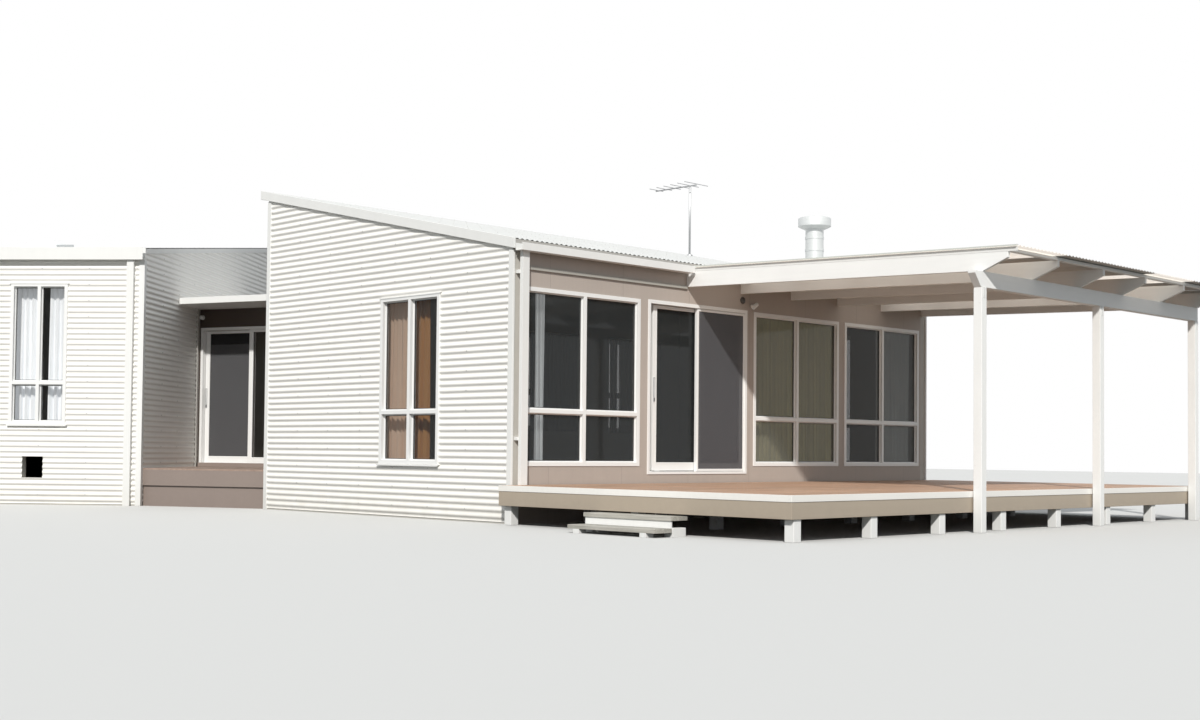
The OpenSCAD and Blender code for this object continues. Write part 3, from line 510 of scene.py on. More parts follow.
class Finish(Enum):
    """Every finish that is the same wherever it is used."""

    CLADDING = PaintedSteel("ribbed wall steel", (0.88, 0.865, 0.83), rib_pitch=0.076)
    ROOF = PaintedSteel("ribbed roof steel", (0.66, 0.665, 0.655), 0.6, dust=0.0, gloss=0.02)
    WHITE_METAL = PaintedSteel("white folded steel", (0.78, 0.78, 0.765), dust=0.3)
    VERGE = PaintedSteel("pale verge cap", (0.62, 0.64, 0.60), dust=0.0)
    GREY_TRIM = PaintedSteel("grey folded trim", (0.50, 0.49, 0.46), dust=0.1)
    WHITE_TIMBER = PaintedTimber("white painted timber", (0.86, 0.86, 0.845), Grain.UPRIGHT)
    WHITE_RAFTER = PaintedTimber("white painted rafters", (0.88, 0.88, 0.865), Grain.ALONG_Y, wear=0.0)
    WHITE_BEAM = PaintedTimber("white painted beams", (0.86, 0.86, 0.85), wear=0.0)
    PALE_TRIM = PaintedTimber("off-white trim", (0.86, 0.84, 0.80))
    TAUPE = PaintedTimber("taupe edge board", (0.42, 0.355, 0.28), wear=0.6)
    # The batten's grey is partly painted shade, for the gutter's shadow falling on it.
    EAVE_BATTEN_PAINTED_SHADE = PaintedTimber("eave batten with painted shade", (0.38, 0.37, 0.335))
    TAUPE_ENTRY = PaintedTimber("taupe landing board", (0.26, 0.21, 0.185), turn=-20.0)
    DECK = BoardTimber("oiled deck boards", (0.27, 0.135, 0.075), (0.54, 0.32, 0.20), (0.50, 0.41, 0.33), 0.45)
    LANDING = BoardTimber("landing boards", (0.20, 0.13, 0.10), (0.34, 0.24, 0.19), (0.36, 0.30, 0.26), 0.5,
                          turn=25.0)
    TREAD = BoardTimber("grey tread boards", (0.22, 0.21, 0.18), (0.42, 0.40, 0.36), (0.48, 0.47, 0.43), 0.6,
                        Grain.ALONG_Y)
    FRAMING = BoardTimber("sawn framing", (0.30, 0.22, 0.13), (0.48, 0.37, 0.23), (0.36, 0.33, 0.28), 0.5)
    WINDOW = PlainCoat("white powder coat", (0.80, 0.80, 0.79), 0.32)
    RUBBER = PlainCoat("black glazing rubber", (0.02, 0.02, 0.02), 0.6)
    SCREEN = PlainCoat("insect mesh", (0.08, 0.08, 0.088), 0.55, alpha=0.8, speck=700.0)
    PLASTER = PlainCoat("plaster", (0.52, 0.50, 0.46), 0.85, gain=0.08)
    # Soffit grey, darkened partly as painted shade under the eaves.
    SOFFIT_PAINTED_SHADE = PlainCoat("soffit lining", (0.40, 0.385, 0.36), 0.7, gain=0.08)
    DARK_STEEL = PlainCoat("dark fitting", (0.06, 0.055, 0.05))
    OPAL = PlainCoat("opal dome", (0.80, 0.82, 0.82), 0.18)
    # Painted light: the milky sheets' undersides glow in place of daylight coming through them.
    MILKY_SHEET = PlainCoat("milky roof sheet", (0.86, 0.82, 0.76), 0.3, painted_glow=0.65)
    FLUE = SpunMetal("painted flue steel", (0.64, 0.66, 0.66), 0.42, 0.35)
    GALVANISED = SpunMetal("bare aluminium", (0.44, 0.45, 0.46), 0.35, 0.9)
    SCREW = SpunMetal("screw heads", (0.62, 0.62, 0.60), 0.4, 0.4)
    GLASS = Glazing("window glass", (0.035, 0.040, 0.043), 0.55, 0.76, 0.92, -4.05, 4.2)
    DOOR_GLASS = Glazing("deck door glass", (0.030, 0.034, 0.036), 0.45)
    # The entry glass is painted darker above 2.43 m as the reflection of the canopy's dark underside.
    ENTRY_GLASS = Glazing("entry door glass", (0.022, 0.022, 0.024), 0.2, painted_reflection_z=2.43)
    # A cloth's number after its colour is painted light: it glows in place of daylight coming through it.
    WHITE_CLOTH = Cloth("white curtain", (0.80, 0.82, 0.84), 0.2)
    SHEER_CLOTH = Cloth("pale sheer curtain", (0.78, 0.80, 0.80), 0.5)
    GREEN_CLOTH = Cloth("grey-green curtain", (0.76, 0.71, 0.50), 0.15)
    GREY_CLOTH = Cloth("grey curtain", (0.74, 0.76, 0.73), 0.10)
    BEIGE_CLOTH = Cloth("beige curtain", (0.66, 0.49, 0.37), 0.12)
    LINED_CLOTH = Cloth("lined curtain", (0.34, 0.33, 0.31))
    BROWN_CLOTH = Cloth("warm brown curtain", (0.50, 0.25, 0.09))


# Mesh tools

class Skin(Enum):
    """Whether a new mesh is closed, with its faces turned outwards, and whether it is shaded smooth."""

    FOLDED = (True, False)
    ROUND = (True, True)
    SHEET = (False, True)
    PLAIN = (False, False)


def linked(thing: bpy.types.Object) -> bpy.types.Object:
    """Puts an object in the scene."""
    bpy.context.scene.collection.objects.link(thing)
    return thing


@contextmanager
def edited(mesh: bpy.types.Mesh) -> Iterator[bmesh.types.BMesh]:
    """Opens a mesh for editing and writes it back.

    Args:
        mesh: The mesh.

    Returns:
        A context that gives the open mesh.
    """
    bm = bmesh.new()
    bm.from_mesh(mesh)
    yield bm
    bm.to_mesh(mesh)
    bm.free()


def grid_faces(rows: int, columns: int, close_rows: bool = False, close_columns: bool = False,
               keep: np.ndarray | None = None) -> list:
    """Quads of a grid whose points run row by row.

    Args:
        rows: Number of rows of points.
        columns: Number of points in a row.
        close_rows: Joins the last row to the first.
        close_columns: Joins the last column to the first.
        keep: Cells to keep, or None for all.

    Returns:
        A list of faces.
    """
    r = np.arange(rows if close_rows else rows - 1)[:, None]
    c = np.arange(columns if close_columns else columns - 1)[None, :]
    r1, c1 = (r + 1) % rows, (c + 1) % columns
    quads = np.stack([r * columns + c, r * columns + c1, r1 * columns + c1, r1 * columns + c], -1)
    return (quads.reshape(-1, 4) if keep is None else quads[keep]).tolist()


def copies(faces: list, size: int, count: int) -> list:
    """Faces of a shape of size points, repeated for a count of shapes."""
    return [[size * k + i for i in face] for k in range(count) for face in faces]


def join_parts(parts: Iterable[Surface]) -> Surface:
    """Joins meshes given as points and faces into one.

    Args:
        parts: The meshes.

    Returns:
        Points and faces.
    """
    points: list[np.ndarray] = []
    faces: list = []
    start = 0
    for part_points, part_faces in parts:
        points.append(part_points.reshape(-1, 3))
        faces.extend([start + i for i in face] for face in part_faces)
        start += len(points[-1])
    return np.concatenate(points), faces


def islands(node: str) -> list[np.ndarray]:
    """Points of each separate solid of a CAD node.

    Each point takes the lowest number among its neighbours until none changes.

    Args:
        node: The node's name.

    Returns:
        One array of points for each solid.
    """
    mesh = frame["nodes"][node].data
    points = np.empty(len(mesh.vertices) * 3, np.float32)
    mesh.vertices.foreach_get("co", points)
    edges = np.empty(len(mesh.edges) * 2, np.int32)
    mesh.edges.foreach_get("vertices", edges)
    unique, where = np.unique(points.reshape(-1, 3), axis=0, return_inverse=True)
    edges = where.reshape(-1)[edges.reshape(-1, 2)]
    label = np.arange(len(unique))
    while True:
        low = np.minimum(label[edges[:, 0]], label[edges[:, 1]])
        fresh = label.copy()
        np.minimum.at(fresh, edges[:, 0], low)
        np.minimum.at(fresh, edges[:, 1], low)
        fresh = fresh[fresh]
        if np.array_equal(fresh, label):
            return [unique[label == k].astype(float) for k in np.unique(label)]
        label = fresh


def node_points(node: str) -> np.ndarray:
    """All points of a CAD node."""
    return np.concatenate(islands(node))


def extent(points: np.ndarray) -> tuple[np.ndarray, np.ndarray]:
    """Lowest and highest corners of points."""
    return points.min(0), points.max(0)


def boxes(node: str) -> list[tuple[np.ndarray, np.ndarray]]:
    """Lowest and highest corners of each solid of a CAD node."""
    return [extent(points) for points in islands(node)]


def bars(outline: Outline, starts: np.ndarray, ends: np.ndarray, across: np.ndarray, up: np.ndarray) -> Surface:
    """Straight bars: a closed outline carried from each start to each end.

    A point is an end plus its outline's first number across plus its second number up.

    Args:
        outline: Outline points of shape (n, 2).
        starts: First ends of shape (k, 3).
        ends: Second ends of shape (k, 3).
        across: Direction of the outline's first number.
        up: Direction of the outline's second number.

    Returns:
        Points and faces.
    """
    outline = np.asarray(outline, float)
    count = len(outline)
    both = np.stack([starts, ends], 1)
    points = both[:, :, None] + outline[:, :1] * across + outline[:, 1:] * up
    one = grid_faces(2, count, close_columns=True) + [list(range(count))[::-1], list(range(count, 2 * count))]
    return points.reshape(-1, 3), copies(one, 2 * count, len(both))


def bar(outline: Outline, line: np.ndarray, across: np.ndarray, up: np.ndarray) -> Surface:
    """One straight bar along a line of two points, with its outline across and up."""
    return bars(outline, line[:1], line[1:], across, up)


def revolve(outline: Outline, centre: np.ndarray, axis: np.ndarray, first: np.ndarray, second: np.ndarray,
            sides: int) -> Surface:
    """Surface of revolution: each radius turned from one direction to another, at its reach along the axis.

    Args:
        outline: Radius and reach of each point.
        centre: Where the reach starts.
        axis: Direction of the axis.
        first: Direction in which the turn starts.
        second: Direction a quarter turn on.
        sides: Number of steps round.

    Returns:
        Points and faces.
    """
    radius, reach = np.asarray(outline, float).T[..., None]
    angle = np.linspace(0, TURN, sides, endpoint=False)[:, None, None]
    points = centre + reach * axis + radius * (np.cos(angle) * first + np.sin(angle) * second)
    return points.reshape(-1, 3), grid_faces(sides, len(radius), close_rows=True)


def rod(start: np.ndarray, end: np.ndarray, radius: float, sides: int = 12) -> Surface:
    """A round bar with bevelled ends between two points.

    Args:
        start: First end.
        end: Second end.
        radius: Radius of the bar.
        sides: Number of sides.

    Returns:
        Points and faces.
    """
    length = np.linalg.norm(end - start)
    way = (end - start) / length
    across = np.cross(Z if abs(way[2]) < 0.9 else X, way)
    across /= np.linalg.norm(across)
    rim, bevel = 0.7 * radius, 0.3 * radius
    outline = ((0.0, 0.0), (rim, 0.0), (radius, bevel), (radius, length - bevel), (rim, length), (0.0, length))
    return revolve(outline, start, way, across, np.cross(way, across), sides)


def new_object(name: str, surface: Surface, skin: Skin) -> bpy.types.Object:
    """Makes an object at the origin.

    Args:
        name: The object's name.
        surface: Its points in metres and its faces.
        skin: How it is closed and shaded.

    Returns:
        The object.
    """
    close, smooth = skin.value
    mesh = bpy.data.meshes.new(name)
    mesh.from_pydata(surface[0].reshape(-1, 3).tolist(), [], surface[1])
    if close:
        with edited(mesh) as bm:
            bmesh.ops.remove_doubles(bm, verts=bm.verts, dist=MERGE)
            bmesh.ops.recalc_face_normals(bm, faces=bm.faces)
    mesh.polygons.foreach_set("use_smooth", [smooth] * len(mesh.polygons))
    return linked(bpy.data.objects.new(name, mesh))


def merged_copy(name: str, node: str) -> bpy.types.Object:
    """Copies a CAD node into an object, with doubles merged and flat faces joined.

    Args:
        name: The object's name.
        node: The CAD node.

    Returns:
        The object.
    """
    mesh = bpy.data.meshes.new(name)
    with edited(mesh) as bm:
        bm.from_mesh(frame["nodes"][node].data)
        bmesh.ops.remove_doubles(bm, verts=bm.verts, dist=MERGE)
        bmesh.ops.dissolve_limit(bm, angle_limit=math.radians(0.6), verts=bm.verts, edges=bm.edges)
    return linked(bpy.data.objects.new(name, mesh))


def cut(piece: bpy.types.Object, at: Sequence[float], outward: Sequence[float], fill: bool = False) -> None:
    """Takes away what lies beyond a plane.

    Args:
        piece: The object to cut.
        at: A point of the plane.
        outward: The side that goes.
        fill: Closes the cut.
    """
    with edited(piece.data) as bm:
        bmesh.ops.bisect_plane(bm, geom=[*bm.verts, *bm.edges, *bm.faces], plane_co=Vector(at),
                               plane_no=Vector(outward), clear_outer=True, dist=1e-6)
        if fill:
            bmesh.ops.holes_fill(bm, edges=[e for e in bm.edges if e.is_boundary], sides=0)


def add_modifier(piece: bpy.types.Object, kind: str, **settings: float | int | str | bool) -> None:
    """Adds a modifier with its settings.

    Args:
        piece: The object.
        kind: The modifier's type.
        settings: Its properties.
    """
    modifier = piece.modifiers.new(kind.title(), kind)
    for key, value in settings.items():
        setattr(modifier, key, value)


def sharpen(piece: bpy.types.Object, degrees: float) -> None:
    """Keeps edges sharp where a smooth piece turns by more than an angle."""
    add_modifier(piece, "EDGE_SPLIT", split_angle=math.radians(degrees))


def thicken(piece: bpy.types.Object, thickness: float) -> None:
    """Gives a rolled sheet its thickness inwards, with sharp rims."""
    add_modifier(piece, "SOLIDIFY", thickness=thickness, offset=-1.0)
    sharpen(piece, 50)


def dress(piece: bpy.types.Object, finish: Finish, body: str = HOUSE,
          nodes: Sequence[str] = ()) -> bpy.types.Object:
    """Gives a new piece its material and body, and lets it stand for CAD nodes.

    Args:
        piece: The piece.
        finish: Its finish.
        body: The body that it rides on.
        nodes: The CAD nodes that it replaces.

    Returns:
        The piece.
    """
    piece.data.materials.clear()
    piece.data.materials.append(finish.value.material())
    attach(piece, body)
    if nodes:
        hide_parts(*nodes)
    LOG.info("%s on %s", piece.name, body)
    return piece


def make(name: str, surface: Surface, finish: Finish, skin: Skin = Skin.FOLDED, body: str = HOUSE,
         nodes: Sequence[str] = ()) -> bpy.types.Object:
    """Makes a new piece from points and faces and dresses it.

    Args:
        name: The piece's name.
        surface: Its points in metres and its faces.
        finish: Its finish.
        skin: How it is closed and shaded.
        body: The body that it rides on.
        nodes: The CAD nodes that it replaces.

    Returns:
        The piece.
    """
    return dress(new_object(name, surface, skin), finish, body, nodes)


def soften(name: str, node: str, finish: Finish, width: float, body: str = HOUSE) -> None:
    """Replaces a CAD node with a copy whose edges are rounded to a width."""
    piece = dress(merged_copy(name, node), finish, body, [node])
    add_modifier(piece, "BEVEL", width=width, segments=2, limit_method="ANGLE", angle_limit=math.radians(35))


def paint(finish: Finish | Coat, *nodes: str) -> None:
    """Gives CAD nodes a better material and keeps their shape.

    Args:
        finish: The finish.
        nodes: The CAD nodes.
    """
    coat = finish.value if isinstance(finish, Finish) else finish
    for node in nodes:
        mesh = frame["nodes"][node].data
        mesh.materials.clear()
        mesh.materials.append(coat.material())


# Places

@dataclass(frozen=True)
class Span:
    """A box in a wall's frame: along the wall, outwards from it, and up."""

    x0: float
    x1: float
    out0: float
    out1: float
    z0: float
    z1: float

    @property
    def centre(self) -> tuple[float, float]:
        """Middle along the wall, and middle height."""
        return (self.x0 + self.x1) / 2, (self.z0 + self.z1) / 2


@dataclass(frozen=True)
class Side:
    """A wall's frame: x to the right seen from outside, out from the wall, z up."""

    x: float
    y: float
    turn: float

    @property
    def along(self) -> np.ndarray:
        """Direction to the right, seen from outside."""
        return np.array([math.cos(self.turn), math.sin(self.turn), 0.0])

    @property
    def outward(self) -> np.ndarray:
        """Direction out of the wall."""
        return np.array([math.sin(self.turn), -math.cos(self.turn), 0.0])

    def place(self, x: np.ndarray, out: np.ndarray, z: np.ndarray) -> np.ndarray:
        """Points in the row frame, with a last axis of 3, from distances along, out and up."""
        x, out, z = (a[..., None] for a in np.broadcast_arrays(*(np.asarray(v, float) for v in (x, out, z))))
        return x * self.along + out * self.outward + z * Z + np.array([self.x, self.y, 0.0])

    def local(self, points: np.ndarray) -> tuple[np.ndarray, np.ndarray, np.ndarray]:
        """Distances along, out and up of points in the row frame."""
        shifted = points - np.array([self.x, self.y, 0.0])
        return shifted @ self.along, shifted @ self.outward, shifted[..., 2]

    def spans(self, node: str, reach: float = 0.3) -> list[Span]:
        """Boxes of a node's solids that lie in this wall, from left to right.

        Args:
            node: The CAD node.
            reach: How far from the wall's face a solid may reach.

        Returns:
            One box for each solid.
        """
        found = []
        for points in islands(node):
            x, out, z = self.local(points)
            if np.abs(out).max() <= reach:
                found.append(Span(x.min(), x.max(), out.min(), out.max(), z.min(), z.max()))
        return sorted(found, key=lambda s: (s.x0, s.z0))

    def touching(self, node: str, near: float = 0.01) -> list[Span]:
        """Box of a node's points that lie on the wall's face, if there are any.

        Args:
            node: The CAD node.
            near: How far from the face a point may be.

        Returns:
            One box, or none.
        """
        x, out, z = self.local(node_points(node))
        on = np.abs(out) < near
        return [Span(x[on].min(), x[on].max(), 0.0, 0.0, z[on].min(), z[on].max())] if on.any() else []


@dataclass(frozen=True)
class Slope:
    """The top of a roof in the frame of the wall under its low edge."""

    side: Side
    x0: float
    x1: float
    low: float
    high: float
    z_low: float
    z_high: float
    depth: float

    @classmethod
    def of(cls, side: Side, node: str) -> "Slope":
        """Reads the top of a roof slab, and its upright depth at the low edge, from its node.

        Args:
            side: Frame of the wall under the low edge.
            node: The CAD node.

        Returns:
            The slope.
        """
        x, out, z = side.local(node_points(node))
        front, back = out > out.max() - 0.01, out < out.min() + 0.01
        return cls(side, x.min(), x.max(), out.max(), out.min(), z[front].max(), z[back].max(),
                   float(np.ptp(z[front])))

    @property
    def rise(self) -> float:
        """Rise for each metre inwards."""
        return (self.z_high - self.z_low) / (self.low - self.high)

    @property
    def normal(self) -> np.ndarray:
        """Direction square to the roof, upwards."""
        square = self.side.outward * self.rise + Z
        return square / np.linalg.norm(square)

    def top(self, out: np.ndarray) -> np.ndarray:
        """Height of the roof's top at a distance out of the wall."""
        return self.z_low + (self.low - out) * self.rise


class House:
    """Places of the walls and roofs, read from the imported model."""

    def __init__(self) -> None:
        """Reads the two blocks and the link."""
        low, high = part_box("gable_wall")
        far_end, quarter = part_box("end_wall")[1].x, math.pi / 2
        self.deck = Side(low.x, low.y, 0.0)
        self.gable = Side(low.x, high.y, -quarter)
        self.back = Side(far_end, high.y, 2 * quarter)
        self.end = Side(far_end, low.y, quarter)
        self.length, self.width = far_end - low.x, high.y - low.y
        front = node_points("wing_front_wall")
        near, far = front[front[:, 1].argmin()], front[front[:, 0].argmin()]
        turn = math.atan2(far[1] - near[1], far[0] - near[0]) - quarter
        self.wing_length = float(np.linalg.norm(far[:2] - near[:2]))
        self.wing_entry = Side(near[0], near[1], turn)
        self.wing_front = Side(far[0], far[1], turn - quarter)
        self.wing_depth = float(self.wing_entry.local(node_points("wing_entry_wall"))[0].max())
        corner = self.wing_entry.place(self.wing_depth, 0.0, 0.0)
        self.wing_back = Side(corner[0], corner[1], turn + quarter)
        corner = self.wing_entry.place(self.wing_depth, -self.wing_length, 0.0)
        self.wing_far = Side(corner[0], corner[1], turn + 2 * quarter)
        axis = next(j["axis"] for j in frame["joints"] if j["name"] == "entry_door_slide")
        roof = node_points("link_roof")
        corner = roof[roof[:, 0].argmin()]
        self.link = Side(float(corner[0]), float(corner[1]), math.atan2(axis[1], axis[0]))
        self.main_roof = Slope.of(self.deck, "main_roof")
        self.wing_roof = Slope.of(self.wing_front, "wing_roof")
        self.verandah_roof = Slope.of(self.deck, "verandah_roof")


# Steel walls and roofs

@dataclass(frozen=True)
class Ribs:
    """Rolled ribs: a cosine wave of one pitch and depth."""

    pitch: float = 0.076
    depth: float = 0.016
    steps: int = 8

    def height(self, distance: np.ndarray) -> np.ndarray:
        """Height over the trough at a distance across the ribs."""
        return self.depth * (0.5 + 0.5 * np.cos(TURN * distance / self.pitch))

    def stations(self, start: float, stop: float, extra: Iterable[float] = ()) -> np.ndarray:
        """Sorted distances at which the wave is drawn.

        Args:
            start: First end.
            stop: Second end.
            extra: Distances to draw besides.

        Returns:
            The distances.
        """
        step = self.pitch / self.steps
        whole = np.arange(math.ceil(start / step), math.floor(stop / step) + 1) * step
        every = np.array([*whole, start, stop, *extra])
        return np.unique(np.round(every[(every >= start - 1e-9) & (every <= stop + 1e-9)], 5))


@dataclass
class ScrewHeads:
    """Hexagon heads on washers, set in rows along the ribs."""

    washer: float = 0.009
    head: float = 0.006
    height: float = 0.006
    points: list[np.ndarray] = field(default_factory=list)
    normals: list[np.ndarray] = field(default_factory=list)

    def add(self, points: np.ndarray, normal: np.ndarray) -> None:
        """Adds heads at points, standing along a normal."""
        self.points.append(points)
        self.normals.append(np.broadcast_to(normal, points.shape))

    def build(self, name: str, finish: Finish, slot: str) -> None:
        """Makes one mesh of all the heads: a six-sided outline repeated at each point.

        Args:
            name: The piece's name.
            finish: Its finish.
            slot: Its material slot; not used.
        """
        points, normals = np.concatenate(self.points), np.concatenate(self.normals)
        across = np.cross(normals, [0.13, 0.21, 0.97])  # Any direction that no screw points in.
        across /= np.linalg.norm(across, axis=1)[:, None]
        over = np.cross(normals, across)
        outline = np.array([(self.washer, -0.001), (self.washer, 0.0015), (self.head, 0.002),
                            (self.head, self.height - 0.001), (self.head * 0.7, self.height)])
        angle = np.arange(6)[:, None, None] * TURN / 6
        rim = np.cos(angle) * across + np.sin(angle) * over
        made = points + rim[:, None] * outline[:, :1, None] + normals * outline[:, 1:, None]
        size = 6 * len(outline)
        one = [*grid_faces(len(outline), 6, close_columns=True), list(range(size - 6, size))]
        make(name, (made.transpose(2, 1, 0, 3), copies(one, size, len(points))), finish, Skin.PLAIN)


@dataclass(frozen=True)
class Wall:
    """A wall to clad: its frame, length, height, openings, and the sloping roof that cuts it, if any."""

    side: Side
    length: float
    top: float
    holes: list[Span]
    slope: Slope | None


@dataclass
class WallSheets:
    """Ribbed steel on the outer faces of the walls, cut round windows and under the roofs."""

    house: House
    ribs: Ribs = Ribs()
    foot: float = 0.02
    thickness: float = 0.0015
    hatch_x: float = 1.405
    hatch_width: float = 0.3
    hatch_z: float = 0.38
    stud: float = 0.6
    stud_edge: float = 0.09
    rib_step: int = 3
    hole_clear: float = 0.02
    top_clear: float = 0.05
    roof_clear: float = 0.04
    screws: ScrewHeads = field(default_factory=ScrewHeads)

    def holes(self, side: Side, frames: str) -> list[Span]:
        """Window openings, the link's contact with a wall, and the sub-floor hatch.

        Args:
            side: The wall's frame.
            frames: The node of its window frames.

        Returns:
            The openings' boxes.
        """
        found = side.spans(frames)
        joined = side.touching("link_walls") + side.touching("link_roof")
        if joined:
            found.append(Span(min(s.x0 for s in joined), max(s.x1 for s in joined), 0.0, 0.0,
                              0.0, max(s.z1 for s in joined)))
        if side is self.house.wing_front:
            right, low, size = self.house.wing_length - self.hatch_x, self.hatch_z, self.hatch_width
            found.append(Span(right - size, right, 0.0, 0.0, low, low + size))
        return found

    def sheet(self, name: str, wall: Wall) -> None:
        """One wall's sheet: height runs up the wall and the wave stands out of it.

        Args:
            name: The piece's name.
            wall: The wall.
        """
        x = np.unique(np.round([0.0, wall.length, *[v for h in wall.holes for v in (h.x0, h.x1)]], 5))
        x = x[(x >= 0) & (x <= wall.length + 1e-4)]
        z = self.ribs.stations(self.foot, wall.top, [v for h in wall.holes for v in (h.z0, h.z1)])
        mid_x, mid_z = (x[1:] + x[:-1]) / 2, (z[1:] + z[:-1]) / 2
        keep = np.ones((len(mid_z), len(mid_x)), bool)
        for h in wall.holes:
            keep &= ~(((mid_x > h.x0) & (mid_x < h.x1)) & ((mid_z > h.z0) & (mid_z < h.z1))[:, None])
        points = wall.side.place(x, self.ribs.height(z)[:, None] + LIFT, z[:, None])
        faces = grid_faces(len(z), len(x), keep=keep)
        piece = make(name, (points, faces), Finish.CLADDING, Skin.SHEET)
        slope = wall.slope
        if slope:
            cut(piece, slope.side.place(0.0, slope.low, slope.z_low - slope.depth), slope.normal)
        thicken(piece, self.thickness)

    def add_screws(self, wall: Wall) -> None:
        """Screws at each stud on every third rib, clear of the openings and the roof.

        Args:
            wall: The wall.
        """
        end = wall.length - self.stud_edge
        studs = np.linspace(self.stud_edge, end, max(2, round(wall.length / self.stud)))
        rows = np.arange(2, int(wall.top / self.ribs.pitch), self.rib_step) * self.ribs.pitch
        x, z = (a.ravel() for a in np.meshgrid(studs, rows))
        keep = z < wall.top - self.top_clear
        gap = self.hole_clear
        for h in wall.holes:
            keep &= ~((x > h.x0 - gap) & (x < h.x1 + gap) & (z > h.z0 - gap) & (z < h.z1 + gap))
        points = wall.side.place(x, self.ribs.depth + LIFT, z)
        slope = wall.slope
        if slope:
            keep &= z < slope.top(slope.side.local(points)[1]) - slope.depth - self.roof_clear
        self.screws.add(points[keep], wall.side.outward)

    def build(self) -> None:
        """Makes every wall's sheet and the screws."""
        h = self.house
        for name, side, length, node, frames, slope in (
                ("gable_sheet", h.gable, h.width, "gable_wall", MAIN_FRAMES, h.main_roof),
                ("end_sheet", h.end, h.width, "gable_wall", MAIN_FRAMES, h.main_roof),
                ("back_sheet", h.back, h.length, "back_wall", MAIN_FRAMES, None),
                ("wing_front_sheet", h.wing_front, h.wing_length, "wing_front_wall", WING_FRAMES, h.wing_roof),
                ("wing_entry_sheet", h.wing_entry, h.wing_depth, "wing_far_wall", WING_FRAMES, h.wing_roof),
                ("wing_back_sheet", h.wing_back, h.wing_length, "wing_back_wall", WING_FRAMES, None),
                ("wing_far_sheet", h.wing_far, h.wing_depth, "wing_far_wall", WING_FRAMES, h.wing_roof)):
            wall = Wall(side, length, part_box(node)[1].z, self.holes(side, frames), slope)
            self.sheet(name, wall)
            self.add_screws(wall)
        self.screws.build("wall_screws", Finish.SCREW, "cladding")


